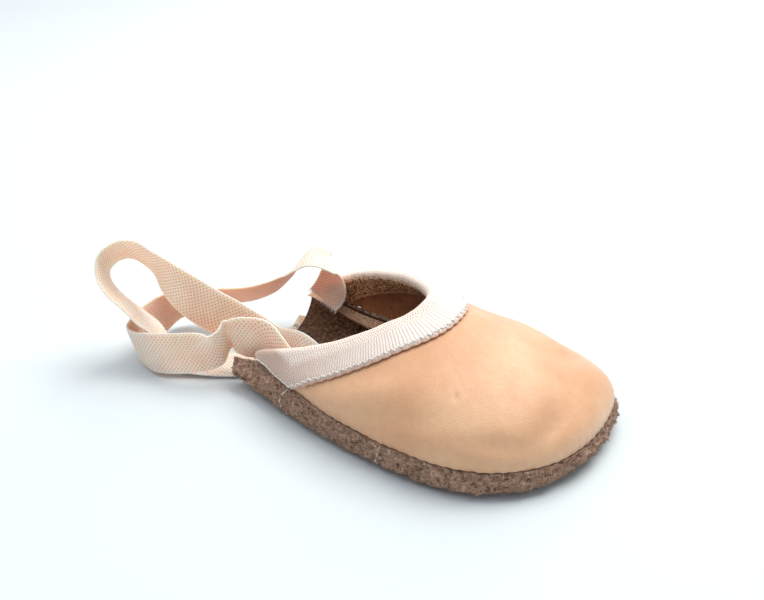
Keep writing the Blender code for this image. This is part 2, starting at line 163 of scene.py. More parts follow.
# %% Vectors and columns
def unit(vectors):
    """One vector, or a grid of them, brought to length 1."""
    return vectors / np.linalg.norm(vectors, axis=-1, keepdims=True)


def travelled(points):
    """Distance along a line from its start to each of its points."""
    return np.concatenate([[0.0], np.cumsum(np.linalg.norm(np.diff(points, axis=0), axis=1))])


def column(table, name, at):
    """Value of a table's column at a share along it, on a smooth curve."""
    keys = np.array(table["along"], float)
    values = np.array(table[name], float)
    slopes = np.gradient(values, keys)
    at = min(max(at, keys[0]), keys[-1])
    i = min(max(int(np.searchsorted(keys, at)) - 1, 0), len(keys) - 2)
    step = keys[i + 1] - keys[i]
    t = (at - keys[i]) / step
    ends = values[i] * (1 + 2 * t) * (1 - t) ** 2 + values[i + 1] * t * t * (3 - 2 * t)
    return float(ends + step * t * (1 - t) * (slopes[i] * (1 - t) - slopes[i + 1] * t))


print("width of the near rear corner", column(RIM[NEAR], "width", 0.0), "of the ball's")

# %% Stations of the sole
def lift(x):
    """Height of the sole's underside over the floor: lifted at the rear, sprung at the toe."""
    rear = min(max(1.0 - (x - REAR_HOLLOW) / REAR_RUN, 0.0), 1.0)
    toe = max(x - (SOLE_LENGTH - TOE_SPRING_RUN), 0.0) / TOE_SPRING_RUN
    return REAR_LIFT * rear ** REAR_BEND + TOE_SPRING * toe ** 2


def spine(m):
    """Middle line of the sole in plan, from the rear edge to the toe."""
    x = SPINE_REACH * SOLE_LENGTH * (1 - (1 - m) ** SPINE_CURVE)
    return np.array((x, TOE_LEAN * min(x / TOE_START, 1.0) ** 2))


def widest(side, m):
    """Widest line of the sole in plan, from the rear corner (m = 0) to the tip of the toe (m = 1)."""
    if m <= SIDE_SHARE:
        x = TOE_START * m / SIDE_SHARE
        return np.array((x, side * BALL_HALF_WIDTH * column(RIM[side], "width", m)))
    angle = 0.5 * math.pi * (m - SIDE_SHARE) / (1 - SIDE_SHARE)
    across = BALL_HALF_WIDTH - side * TOE_LEAN
    forward = SOLE_LENGTH - TOE_START
    n = TOE_SQUARENESS[side]
    radius = ((abs(math.cos(angle)) / across) ** n + (abs(math.sin(angle)) / forward) ** n) ** (-1 / n)
    return np.array((TOE_START + radius * math.sin(angle), TOE_LEAN + side * radius * math.cos(angle)))


def plan(side, m, inset):
    """Place in plan on the station m, at a distance in from the widest line."""
    inner = spine(m)
    outer = widest(side, m)
    out = 1 - inset / np.linalg.norm(outer - inner)
    hollow = REAR_HOLLOW * (1 - out * out) * max(1 - m / HOLLOW_SHARE, 0.0) ** 2
    return inner + (outer - inner) * out + np.array((hollow, 0.0))


def roll_depth(side, m):
    return ROLL_DEPTH * column(RIM[side], "depth", m)


def seam_angle(side, m):
    """Angle past the widest line at which the sole's rolled edge ends at the seam."""
    return math.acos(1 - column(RIM[side], "tuck", m))


def rolled_point(side, m, angle):
    """Outer face of the sole's rolled edge, from -90 degrees on the underside to the seam."""
    x, y = plan(side, m, roll_depth(side, m) * (1 - math.cos(angle)))
    low = lift(x)
    height = SEAM_HEIGHT * column(RIM[side], "height", m) - low
    belly = height * column(RIM[side], "belly", m)
    if angle <= 0:
        return np.array((x, y, low + belly * (1 + math.sin(angle))))
    return np.array((x, y, low + belly + (height - belly) * math.sin(angle) / math.sin(seam_angle(side, m))))


def sole_station(side, m, steps, flat_steps=3):
    """Outer face of one half section of the sole, from the seam down and in to the spine."""
    angles = np.linspace(seam_angle(side, m), -0.5 * math.pi, steps)
    points = [rolled_point(side, m, angle) for angle in angles]
    width = np.linalg.norm(widest(side, m) - spine(m))
    for inset in np.linspace(roll_depth(side, m), width, flat_steps + 1)[1:]:
        x, y = plan(side, m, inset)
        points.append(np.array((x, y, lift(x))))
    return points


print("seam height at the ball", round(rolled_point(NEAR, 0.5, seam_angle(NEAR, 0.5))[2] / MM, 1), "mm")

# %% Ribs of the vamp
def rib(side, m, steps):
    """Outer face of the upper on one rib, from the seam to the collar."""
    share = (m - UPPER_START) / (1 - UPPER_START)
    table = RIBS[side]
    seam = rolled_point(side, m, seam_angle(side, m)) + np.array((0, 0, CLEARANCE))
    collar = np.array((
        THROAT_X * column(table, "x", share),
        side * COLLAR_HALF_WIDTH * column(table, "y", share),
        THROAT_HEIGHT * column(table, "z", share),
    ))
    outward = plan(side, m, 0.0) - plan(side, m, ROLL_DEPTH)
    outward = np.append(unit(outward), 0.0)
    run = np.append((seam - collar)[:2], 0.0)
    up = np.array((0.0, 0.0, collar[2] - seam[2]))
    first = seam + up * column(table, "rise", share) + outward * up[2] * column(table, "lean", share)
    second = collar + run * column(table, "reach", share) - up * column(table, "fall", share)
    points = []
    for t in np.linspace(0, 1, steps):
        s = 1 - t
        points.append(seam * s ** 3 + first * 3 * t * s * s + second * 3 * t * t * s + collar * t ** 3)
    return points


print("throat height", rib(NEAR, 1.0, 2)[-1][2] / MM, "mm")

# %% Walks, normals and places on a line
def walk(start, rows):
    """Stations from the near rear round the toe to the far rear, as pairs of side and share."""
    shares = [start + (1 - start) * i / rows for i in range(rows + 1)]
    return [(NEAR, m) for m in shares] + [(FAR, m) for m in reversed(shares[:-1])]


def outward_normals(grid):
    """Unit normals of a grid of points that point away from the inside of the shoe."""
    cross = np.cross(np.gradient(grid, axis=0), np.gradient(grid, axis=1))
    toe_row = len(grid) // 2
    cross[toe_row, -1] = cross[toe_row, -2]
    cross /= np.maximum(np.linalg.norm(cross, axis=2, keepdims=True), 1e-12)
    return cross if cross[toe_row, 0, 0] > 0 else -cross


def along_line(points, directions, distance):
    """Point and direction at a distance along a line of points."""
    lengths = travelled(points)
    point = np.array([np.interp(distance, lengths, points[:, k]) for k in range(3)])
    direction = np.array([np.interp(distance, lengths, directions[:, k]) for k in range(3)])
    return point, unit(direction)


print("round the sole in steps of a quarter:", len(walk(0.0, 4)), "stations")

# %% [markdown]
# ## Sheets with two faces
#
# Every piece of this shoe is a sheet, with a face that shows outside, a face that shows inside and
# a cut edge. Blender could thicken a plane with a modifier, but then both faces share one material.
# Here the two faces are two grids, and each gets the slot that the real face needs. The UV holds
# real millimetres, along the piece and across it, so that a knit can be drawn at its true pitch.

# %% Sheet builder
SHARP_ANGLE = math.radians(50)
SAME_PLACE = 1e-7


def in_millimetres(grid):
    """Distances along the rows' middle and across each row, in millimetres."""
    along = travelled(grid[:, grid.shape[1] // 2])
    steps = np.linalg.norm(np.diff(grid, axis=1), axis=2)
    across = np.concatenate([np.zeros((len(grid), 1)), np.cumsum(steps, axis=1)], axis=1)
    return np.stack([np.repeat(along[:, None], grid.shape[1], axis=1), across], axis=2) / MM


def sheet(name, outer, inner, finishes, folded=False):
    """Closed sheet between two grids, in the finishes of its outer face, inner face and edge."""
    rows, columns = outer.shape[:2]
    index = np.arange(rows * columns).reshape(rows, columns)
    quads = np.stack([index[:-1, :-1], index[:-1, 1:], index[1:, 1:], index[1:, :-1]], axis=2)
    shift = rows * columns
    faces = [quads.reshape(-1, 4), quads[..., ::-1].reshape(-1, 4) + shift]
    # A folded sheet has no rim at its last column, where its two halves meet.
    lines = [index[:, 0]] if folded else [index[:, 0], index[:, -1]]
    lines += [index[0], index[-1]]
    rim = [np.stack([line[:-1], line[1:], line[1:] + shift, line[:-1] + shift], axis=1) for line in lines]
    faces.append(np.concatenate(rim))
    points = np.concatenate([outer.reshape(-1, 3), inner.reshape(-1, 3)])
    data = bpy.data.meshes.new(name)
    data.from_pydata(points.tolist(), [], np.concatenate(faces).tolist())
    slots = np.concatenate([np.full(len(part), number) for number, part in enumerate(faces)])
    data.polygons.foreach_set("material_index", slots.astype(np.int32))
    place = np.tile(in_millimetres(outer).reshape(-1, 2), (2, 1))
    corners = np.empty(len(data.loops), dtype=np.int32)
    data.loops.foreach_get("vertex_index", corners)
    data.uv_layers.new(name="millimetres").data.foreach_set("uv", place[corners].ravel())
    closed = bmesh.new()
    closed.from_mesh(data)
    bmesh.ops.remove_doubles(closed, verts=closed.verts, dist=SAME_PLACE)
    bmesh.ops.recalc_face_normals(closed, faces=closed.faces)
    closed.to_mesh(data)
    closed.free()
    data.shade_smooth()
    data.set_sharp_from_angle(angle=SHARP_ANGLE)
    for finish in finishes:
        data.materials.append(finish)
    return link(name, data)


def shape(name, points, faces, finish):
    """Piece of one finish from its points and faces."""
    data = bpy.data.meshes.new(name)
    data.from_pydata([tuple(point) for point in points], [], faces)
    data.materials.append(finish)
    return link(name, data)


def put_in_scene(name, data):
    """Object of a mesh, lamp or camera, in the scene."""
    made = bpy.data.objects.new(name, data)
    bpy.context.scene.collection.objects.link(made)
    return made


def link(name, data):
    """Piece of a mesh made in the shoe's lengths, moved so that the origin is under the ball."""
    data.transform(Matrix.Translation((-TOE_START, 0, 0)))
    piece = put_in_scene(name, data)
    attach(piece, "root")
    print(name, len(data.polygons), "faces")
    return piece


def roughened(points, facing, scale, depth, detail=3):
    """Points moved along their normals by a rough noise of that scale and depth."""
    flat = points.reshape(-1, 3)
    rise = [noise.fractal(Vector(point) / scale, 0.9, 2.0, detail) for point in flat]
    return points + facing * (depth * np.array(rise).reshape(points.shape[:2]))[..., None]


# %% [markdown]
# ## One node at a time
#
# A material is a list of nodes. One helper adds a node, sets it up and plugs values or other nodes
# into its inputs, and every recipe below is written with it alone. Colours are written as they look
# on a screen, in hex, and turned to the linear values that the renderer works in.

# %% Colour and node helpers
def colour(code):
    """Linear colour of an sRGB hex code."""
    shares = [int(code[i : i + 2], 16) / 255 for i in (1, 3, 5)]
    return tuple(v / 12.92 if v <= 0.04045 else ((v + 0.055) / 1.055) ** 2.4 for v in shares) + (1.0,)


def add(tree, kind, inputs=None, **settings):
    """Add a node with its settings and links. Inputs, by name or place, are values, hex codes,
    sockets or nodes, and a node stands for its first output in use."""
    made = tree.nodes.new("ShaderNode" + kind)
    for key, value in settings.items():
        setattr(made, key, value)
    for key, value in (inputs or {}).items():
        if isinstance(value, str):
            value = colour(value)
        if isinstance(value, bpy.types.Node):
            value = next(socket for socket in value.outputs if socket.enabled)
        if isinstance(value, bpy.types.NodeSocket):
            tree.links.new(value, made.inputs[key])
        else:
            made.inputs[key].default_value = value
    return made


def material(name, recipe, *settings):
    """New material. Its recipe gets the tree of nodes and the place on the piece, adds what it needs
    and returns the shader's inputs."""
    made = bpy.data.materials.new(name)
    made.use_nodes = True
    tree = made.node_tree
    tree.nodes.clear()
    skin = recipe(tree, add(tree, "TexCoord").outputs["Object"], *settings)
    add(tree, "OutputMaterial", {"Surface": add(tree, "BsdfPrincipled", skin)})
    return made


print("a mid grey is", round(colour("#808080")[0], 3), "in linear light")

# %% [markdown]
# ## Kid leather
#
# The vamp is drum-dyed kid: dye right through, a fine pebbled grain on the face and a satin finish.
# A plain glossy shader would look like plastic, so the dye is cloudy, the grain is a net of furrows
# and the gloss changes a little from place to place. The inside shows the flesh side, matt and
# fibrous, with painted shade in the pits between the fibres.

# %% Vamp leather, both sides
def kid_leather(tree, place):
    cloud = add(tree, "TexNoise", {"Vector": place, "Scale": 1 / (26 * MM), "Detail": 3.0})
    dye = add(tree, "MapRange", {"Value": cloud, "From Min": 0.35, "From Max": 0.68})
    body = add(tree, "Mix", {0: dye, 6: "#DEA679", 7: "#EDBD92"}, data_type="RGBA")
    speck = add(tree, "TexNoise", {"Vector": place, "Scale": 1 / (2.2 * MM), "Detail": 5.0})
    rubbed = add(tree, "MapRange", {"Value": speck, "From Min": 0.3, "From Max": 0.7, "To Max": 0.2})
    face = add(tree, "Mix", {0: rubbed, 6: body, 7: "#C78D65"}, data_type="RGBA")
    warp = add(tree, "TexNoise", {"Vector": place, "Scale": 1 / (3 * MM), "Detail": 2.0})
    bend = {0: warp.outputs["Color"], 1: (1.2 * MM,) * 3, 2: place}
    bent = add(tree, "VectorMath", bend, operation="MULTIPLY_ADD")
    # Kid grain is a net of furrows about 0.5 mm apart, drawn at 0.7 mm so that it shows.
    net = add(tree, "TexVoronoi", {"Vector": bent, "Scale": 1 / (0.7 * MM)}, feature="DISTANCE_TO_EDGE")
    furrow = add(tree, "MapRange", {"Value": net, "From Max": 0.22})
    grain = add(tree, "Bump", {"Height": furrow, "Strength": 0.6, "Distance": 0.07 * MM})
    swell = add(tree, "TexNoise", {"Vector": place, "Scale": 1 / (6 * MM), "Detail": 4.0})
    bump = add(tree, "Bump", {"Height": swell, "Strength": 0.4, "Distance": 0.5 * MM, "Normal": grain})
    gloss = add(tree, "MapRange", {"Value": dye, "To Min": 0.48, "To Max": 0.40})
    skin = {"Base Color": face, "Roughness": gloss, "Specular IOR Level": 0.6, "Normal": bump}
    return {**skin, "Sheen Weight": 0.35, "Sheen Roughness": 0.4}


def flesh_side(tree, place):
    cloud = add(tree, "TexNoise", {"Vector": place, "Scale": 1 / (9 * MM), "Detail": 5.0})
    tone = add(tree, "MapRange", {"Value": cloud, "From Min": 0.3, "From Max": 0.7})
    body = add(tree, "Mix", {0: tone, 6: "#94593A", 7: "#BC8056"}, data_type="RGBA")
    fuzz = add(tree, "TexNoise", {"Vector": place, "Scale": 1 / (0.8 * MM), "Detail": 4.0, "Roughness": 0.7})
    # Painted shade: the low parts of the fibres are darkened into pits.
    pit_shade = add(tree, "MapRange", {"Value": fuzz, "From Min": 0.46, "From Max": 0.32, "To Max": 0.8})
    face = add(tree, "Mix", {0: pit_shade, 6: body, 7: "#3F2416"}, data_type="RGBA")
    bump = add(tree, "Bump", {"Height": fuzz, "Strength": 0.8, "Distance": 0.25 * MM})
    skin = {"Base Color": face, "Roughness": 0.95, "Specular IOR Level": 0.15, "Normal": bump}
    return {**skin, "Sheen Weight": 0.2}


LEATHER = material("drum_dyed_kid_leather", kid_leather)
FLESH = material("leather_flesh_side", flesh_side)
print("made", LEATHER.name, "and", FLESH.name)

# %% [markdown]
# ## Brushed suede
#
# The sole is split leather, brushed so that its fibres stand up in tufts. The eye reads it by three
# things: patches where the nap lies another way, light tips of fibre, and the gaps between tufts,
# which are darkened as painted shade.
# On the band the tufts are dragged into strands along the sole, so there the pattern is stretched.

# %% Suedes
def brushed_suede(tree, place, dark, light, tips, shaded_gaps, nap, strand=None):
    """Suede in four tones. nap is the size of its tufts in millimetres, and strand their length
    along the piece, where they are dragged."""
    cloud = add(tree, "TexNoise", {"Vector": place, "Scale": 1 / (7 * MM), "Detail": 5.0, "Roughness": 0.6})
    lie = add(tree, "MapRange", {"Value": cloud, "From Min": 0.32, "From Max": 0.70})
    body = add(tree, "Mix", {0: lie, 6: dark, 7: light}, data_type="RGBA")
    if strand:
        flat = add(tree, "UVMap", uv_map="millimetres")
        dragged = add(tree, "Mapping", {"Vector": flat, "Scale": (1 / strand, 1 / nap, 1.0)})
        tuft_at = {"Vector": dragged, "Scale": 1.0, "Distortion": 1.5}
    else:
        tuft_at = {"Vector": place, "Scale": 1 / (nap * MM)}
    tuft = add(tree, "TexNoise", {**tuft_at, "Detail": 4.0, "Roughness": 0.68})
    tip = add(tree, "MapRange", {"Value": tuft, "From Min": 0.50, "From Max": 0.68, "To Max": 0.75})
    tipped = add(tree, "Mix", {0: tip, 6: body, 7: tips}, data_type="RGBA")
    # Painted shade: the low parts of the nap are darkened towards the gaps colour.
    gap_shade = add(tree, "MapRange", {"Value": tuft, "From Min": 0.48, "From Max": 0.37, "To Max": 0.9})
    face = add(tree, "Mix", {0: gap_shade, 6: tipped, 7: shaded_gaps}, data_type="RGBA")
    bump = add(tree, "Bump", {"Height": tuft, "Strength": 1.0, "Distance": 0.7 * MM})
    skin = {"Base Color": face, "Roughness": 0.96, "Specular IOR Level": 0.1, "Normal": bump}
    return {**skin, "Sheen Weight": 0.3}


# The fourth colour of each suede is painted shade for the gaps between tufts.
SOLE_SUEDE = material("brushed_suede", brushed_suede, "#A47B60", "#C69B7F", "#F0D0B4", "#2E1D14", 0.9, 1.5)
SUEDE_TIPS = material("suede_tips", brushed_suede, "#A07A5F", "#CCA88C", "#F2D8BF", "#4A3425", 0.8)
SOLE_INSIDE = material("suede_flesh_side", brushed_suede, "#5A3F2C", "#7E5C44", "#A07C5E", "#3A281C", 1.3)
# Lightened past the suede's own tan: painted light on the margins, with painted shade in its gaps.
MARGIN_SUEDE_PAINTED_LIGHT = material("raw_suede_margin", brushed_suede, "#EAB488", "#FBD2AA", "#FFE8CE", "#B98560", 0.9)
MARGIN_EDGE = material("raw_suede_edge", brushed_suede, "#6B4429", "#8F6343", "#AD8160", "#3E2719", 0.9)
print("five suedes, with tufts of 0.8 to 1.3 mm")

# %% [markdown]
# ## Knitted elastic
#
# Elastic webbing is knitted round rubber threads. Its faces show rows of small holes, 1.45 mm apart
# along the band. A picture of a knit would need a file, and geometry this fine would be heavy, so
# two sine waves in the UV's millimetres draw it, one along the band and one across. The yarn is thin
# enough for light to come through, which the subsurface value gives.

# %% Strap elastic
def knit_waves(tree, place, drift_size, detail, drift, pitches):
    """The place on the band in millimetres, a wave along it, and that wave times the one across it.
    The yarns wander by the drift, in radians, over the drift size, in millimetres."""
    flat = add(tree, "SeparateXYZ", {0: add(tree, "UVMap", uv_map="millimetres")})
    cloud = add(tree, "TexNoise", {"Vector": place, "Scale": 1 / (drift_size * MM), "Detail": detail})
    wander = add(tree, "Math", {0: cloud, 1: drift}, operation="MULTIPLY")
    waves = []
    for axis, pitch in zip("XY", pitches):
        turn = {0: flat.outputs[axis], 1: math.tau / pitch, 2: wander}
        angle = add(tree, "Math", turn, operation="MULTIPLY_ADD")
        waves.append(add(tree, "Math", {0: angle}, operation="SINE"))
    return flat, waves[0], add(tree, "Math", {0: waves[0], 1: waves[1]}, operation="MULTIPLY")


def elastic(tree, place, hole, yarn, along_pitch, across_pitch, closed):
    """Knit with its two pitches in millimetres. closed is the part of a cell's wave without a hole."""
    flat, _, cell = knit_waves(tree, place, 3.0, 2.0, 1.6, (along_pitch, across_pitch))
    cover = add(tree, "MapRange", {"Value": cell, "From Min": 0.95, "From Max": closed})
    knit = add(tree, "Mix", {0: cover, 6: hole, 7: yarn}, data_type="RGBA")
    half = 0.5 * STRAP_WIDTH / MM
    aside = add(tree, "Math", {0: flat.outputs["Y"], 1: half}, operation="SUBTRACT")
    from_middle = add(tree, "Math", {0: aside}, operation="ABSOLUTE")
    rim = {"Value": from_middle, "From Min": half - 0.8, "From Max": half - 0.3, "To Max": 0.6}
    selvage = add(tree, "MapRange", rim)
    bound = add(tree, "Mix", {0: selvage, 6: knit, 7: "#FFEFE0"}, data_type="RGBA")
    cloud = add(tree, "TexNoise", {"Vector": place, "Scale": 1 / (8 * MM), "Detail": 3.0})
    handled = add(tree, "MapRange", {"Value": cloud, "From Min": 0.4, "From Max": 0.7, "To Max": 0.15})
    face = add(tree, "Mix", {0: handled, 6: bound, 7: hole}, data_type="RGBA")
    yarns = add(tree, "TexNoise", {"Vector": place, "Scale": 1 / (0.5 * MM), "Detail": 2.0})
    fine = add(tree, "Bump", {"Height": yarns, "Strength": 0.5, "Distance": 0.08 * MM})
    bump = add(tree, "Bump", {"Height": cover, "Strength": 0.6, "Distance": 0.15 * MM, "Normal": fine})
    skin = {"Base Color": face, "Roughness": 0.82, "Specular IOR Level": 0.2, "Normal": bump}
    light_through = {"Subsurface Weight": 0.8, "Subsurface Radius": (1.0, 0.6, 0.4)}
    return {**skin, **light_through, "Subsurface Scale": 3 * MM}


DOT_FACE = material("knitted_elastic_dots", elastic, "#C98A63", "#FFE8D8", 1.45, 1.80, 0.35)
RIB_FACE = material("knitted_elastic_ribs", elastic, "#C59B82", "#EFD2C0", 1.30, 1.30, -0.40)
print("elastic", STRAP_WIDTH / MM, "mm wide, rows of holes 1.45 mm apart")

# %% [markdown]
# ## Fold-over elastic
#
# The binding is another knit: fine ribs across the band, 0.8 mm apart, white on the outer flap,
# broken into peach dashes where it folds, and a coarser brown mesh on the flap inside the shoe. The
# UV's second value is the distance from the outer lower edge, so each zone begins at its own place.

# %% Binding elastic
RIB_PITCH = 0.8
COURSE_PITCH = 1.9
HOLES_PER_MM = 1.5
# The band has painted shade at its near rear end: full up to the first of these distances along it,
# and none from the second.
REAR_SHADE_REACH = (14.0, 62.0)


def fold_over_elastic(tree, place):
    flat, rib_wave, cell = knit_waves(tree, place, 2.5, 3.0, 4.0, (RIB_PITCH, COURSE_PITCH))
    ridge = add(tree, "MapRange", {"Value": rib_wave, "From Min": -1.0, "From Max": 0.3})
    dash = add(tree, "MapRange", {"Value": cell, "From Min": 0.9, "From Max": 0.1})
    millimetres = add(tree, "UVMap", uv_map="millimetres")
    hole = add(tree, "TexVoronoi", {"Vector": millimetres, "Scale": HOLES_PER_MM})
    gauze = add(tree, "MapRange", {"Value": hole, "From Min": 0.62, "From Max": 0.30})
    full, none = REAR_SHADE_REACH
    # Painted shade over the outer flap, darkest at its near rear end.
    rear_shade = add(tree, "MapRange", {"Value": flat.outputs["X"], "From Min": none, "From Max": full})
    up = flat.outputs["Y"]
    fold = BINDING_OUTSIDE / MM
    folding = add(tree, "MapRange", {"Value": up, "From Min": fold - 4.0, "From Max": fold - 1.5})
    inside = add(tree, "MapRange", {"Value": up, "From Min": fold + 3.2, "From Max": fold + 6.5})
    hem = add(tree, "MapRange", {"Value": up, "From Min": 1.0, "From Max": 0.4, "To Max": 0.7})
    flap = add(tree, "Mix", {0: ridge, 6: "#E0CFBF", 7: "#FBF6EE"}, data_type="RGBA")
    # The outer flap in painted shade, for its near rear end.
    shaded_flap = add(tree, "Mix", {0: dash, 6: "#966F5A", 7: "#DFC4B4"}, data_type="RGBA")
    turned = add(tree, "Mix", {0: dash, 6: "#CF926D", 7: "#FBF0E4"}, data_type="RGBA")
    mesh = add(tree, "Mix", {0: gauze, 6: "#7F5034", 7: "#E8BF93"}, data_type="RGBA")
    outer = add(tree, "Mix", {0: rear_shade, 6: flap, 7: shaded_flap}, data_type="RGBA")
    upper = add(tree, "Mix", {0: folding, 6: outer, 7: turned}, data_type="RGBA")
    hemmed = add(tree, "Mix", {0: hem, 6: upper, 7: "#D2A083"}, data_type="RGBA")
    face = add(tree, "Mix", {0: inside, 6: hemmed, 7: mesh}, data_type="RGBA")
    height = add(tree, "Mix", {0: folding, 2: ridge, 3: dash})
    yarns = add(tree, "TexNoise", {"Vector": place, "Scale": 1 / (0.5 * MM), "Detail": 2.0})
    fine = add(tree, "Bump", {"Height": yarns, "Strength": 0.6, "Distance": 0.12 * MM})
    bump = add(tree, "Bump", {"Height": height, "Strength": 0.6, "Distance": 0.16 * MM, "Normal": fine})
    return {"Base Color": face, "Roughness": 0.85, "Specular IOR Level": 0.2, "Normal": bump}


BINDING_FACE = material("fold_over_elastic", fold_over_elastic)
print("binding ribs", RIB_PITCH, "mm apart")

# %% [markdown]
# ## Sewing thread
#
# Spun polyester thread is two or three plies twisted together. At this distance the twist is only a
# light and dark change along the stitch, so a small noise is enough.

# %% Threads
def spun_thread(tree, place, dark, light):
    ply = add(tree, "TexNoise", {"Vector": place, "Scale": 1 / (0.5 * MM), "Detail": 1.0})
    twist = add(tree, "MapRange", {"Value": ply, "From Min": 0.35, "From Max": 0.65})
    face = add(tree, "Mix", {0: twist, 6: dark, 7: light}, data_type="RGBA")
    bump = add(tree, "Bump", {"Height": twist, "Strength": 0.6, "Distance": 0.08 * MM})
    return {"Base Color": face, "Roughness": 0.7, "Specular IOR Level": 0.35, "Normal": bump}


WHITE_THREAD = material("spun_polyester_thread", spun_thread, "#D8CFC4", "#F7F2EA")
GREY_THREAD = material("grey_sewing_thread", spun_thread, "#8A827B", "#C2BBB2")
TAN_THREAD = material("tan_sewing_thread", spun_thread, "#A8794F", "#DDB288")
print("three threads: white, grey and tan")

# %% [markdown]
# ## The suede sole
#
# The sole is one sheet of suede, cupped up at the sides by the seam, and the cup shows as a fuzzy
# band right round the shoe. Bump alone would leave its outline smooth, so the nap is also moved
# in the mesh, most at the band and least where the sole lies flat.

# %% Sole
SOLE_ROWS = 300
SOLE_ROLL_STEPS = 30
SOLE_FLAT_STEPS = 24
TUFT_SIZE = 1.5 * MM
TUFT_HEIGHT = 1.0 * MM
LUMP_SIZE = 6.0 * MM
LUMP_HEIGHT = 0.7 * MM
LINING_GRAIN = 1.4 * MM
LINING_DEPTH = 0.10 * MM
# The nap stands full on the first third of the roll and fades to this share on the flat.
FLAT_NAP = 0.05

sole_places = walk(0.0, SOLE_ROWS)
sole_outer = np.array([sole_station(side, m, SOLE_ROLL_STEPS, SOLE_FLAT_STEPS) for side, m in sole_places])
sole_facing = outward_normals(sole_outer)
sole_facing[:, -1] = unit(sole_facing[:, -1] + sole_facing[::-1, -1])
sole_inner = sole_outer - sole_facing * SOLE_THICKNESS
columns = np.arange(sole_outer.shape[1])
band_share = np.clip(1.3 - columns / SOLE_ROLL_STEPS, FLAT_NAP, 1.0)[None, :, None]
tufted = roughened(sole_outer, sole_facing, TUFT_SIZE, TUFT_HEIGHT)
tufted = roughened(tufted, sole_facing, LUMP_SIZE, LUMP_HEIGHT, 2)
sole_skin = sole_outer + (tufted - sole_outer) * band_share
sole_skin[..., 2] = np.maximum(sole_skin[..., 2], 0.0)
sole_lining = roughened(sole_inner, -sole_facing, LINING_GRAIN, LINING_DEPTH)
sole_lining[:, -1] = sole_inner[:, -1]
sole_skin[:, -1] = sole_outer[:, -1]
sole = sheet("suede_sole", sole_skin, sole_lining, (SOLE_SUEDE, SOLE_INSIDE, SUEDE_TIPS), folded=True)
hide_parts("outsole")

# %% [markdown]
# ## Loose fibres
#
# Cut suede sheds a halo of short fibres. Real hair curves would do, but thin spikes of three sides
# and a base are lighter and go with the mesh when it is exported. It takes about fifteen thousand.

# %% Fibres
BAND_FIBRES = 14000
BAND_FIBRE = (0.9 * MM, 0.09 * MM)
BAND_LEAN = 1.8
RIM_FIBRES = 1500
RIM_FIBRE = (0.6 * MM, 0.06 * MM)
# Angles of a spike's three corners, in radians
SPIKE_TURNS = (0.0, 2.1, 4.2)


def fibres(name, roots, facing, length, radius, finish, lean=0.9):
    """Thin spikes that stand on the given roots and lean at random."""
    points, faces = [], []
    for root, up in zip(roots, facing):
        sideways = chance.normal(size=3)
        sideways = unit(sideways - up * (sideways @ up))
        other = np.cross(up, sideways)
        tip = up + lean * sideways * chance.uniform(0.2, 1.2)
        tip = root + unit(tip) * length * chance.uniform(0.5, 1.3)
        first = len(points)
        for turn in SPIKE_TURNS:
            points.append(root - up * radius + radius * (sideways * math.cos(turn) + other * math.sin(turn)))
        points.append(tip)
        for point in points[first:]:
            point[2] = max(point[2], 0.0)
        a, b, c, top = range(first, first + 4)
        faces += [(a, b, top), (b, c, top), (c, a, top), (c, b, a)]
    return shape(name, points, faces, finish)


def scattered(grid, facing, count, first_column, last_column):
    """Random places on a stretch of a grid, with their normals."""
    rows = chance.integers(1, len(grid) - 1, count)
    columns = chance.integers(first_column, last_column, count)
    return grid[rows, columns], facing[rows, columns]


print("fibres", BAND_FIBRES, "and", RIM_FIBRES)

# %% Band and rim
band_roots, band_facing = scattered(sole_skin, sole_facing, BAND_FIBRES, 0, SOLE_ROLL_STEPS - 5)
band_fibres = fibres("suede_band_fibres", band_roots, band_facing, *BAND_FIBRE, SUEDE_TIPS, BAND_LEAN)
rim_roots, _ = scattered(sole_skin, sole_facing, RIM_FIBRES, 0, 1)
upright = np.tile((0.0, 0.0, 1.0), (RIM_FIBRES, 1))
rim_fibres = fibres("suede_rim_fibres", rim_roots, upright, *RIM_FIBRE, SUEDE_TIPS)

# %% [markdown]
# ## The leather vamp
#
# The vamp was cut flat and stretched over the last, so it has no seams of its own. What makes it
# soft is where it has been pressed: shallow troughs and low ridges, listed as rows of a
# table, and a pucker at each stitch where the seam pulls the leather down.

# %% Places of the dents
# side, along and up place a dent's middle on the vamp: shares of the way to the toe and of the way
# from seam to collar. long and wide are its half sizes in mm, turn its angle in degrees from the
# seam's direction, and depth its depth in mm, less than 0 for a ridge.
DENTS = (
    # side, along, up, long, wide, turn, depth
    (NEAR, 0.50, 0.30, 20, 5.0, 12, 1.10),
    (NEAR, 0.46, 0.52, 16, 5.0, 20, -0.80),
    (NEAR, 0.72, 0.22, 11, 3.5, -8, 1.00),
    (NEAR, 0.68, 0.53, 1.3, 0.6, 80, 0.55),
    (NEAR, 0.84, 0.26, 10, 4.0, 22, 1.30),
    (NEAR, 0.90, 0.52, 12, 5.0, 50, -0.80),
    (NEAR, 0.97, 0.40, 11, 5.0, 60, 1.20),
    (FAR, 0.90, 0.45, 9, 4.0, -40, 1.00),
    (FAR, 0.78, 0.60, 14, 5.0, 10, -0.90),
    (FAR, 0.62, 0.40, 15, 4.0, -12, 1.10),
    (FAR, 0.45, 0.45, 12, 4.0, 15, 0.90),
    (FAR, 0.96, 0.72, 13, 4.0, 35, 0.90),
)
STITCH_PITCH = 3.6 * MM
PUCKER_DEPTH = 0.25 * MM
PUCKER_REACH = 3.5 * MM
VAMP_ROWS = 170
VAMP_STEPS = 60
# Dents start a little under the binding's edge and are full this many millimetres further down.
DENT_START = 0.8 * BINDING_OUTSIDE / MM
DENT_EASE = 5.0

print("dents", len(DENTS))

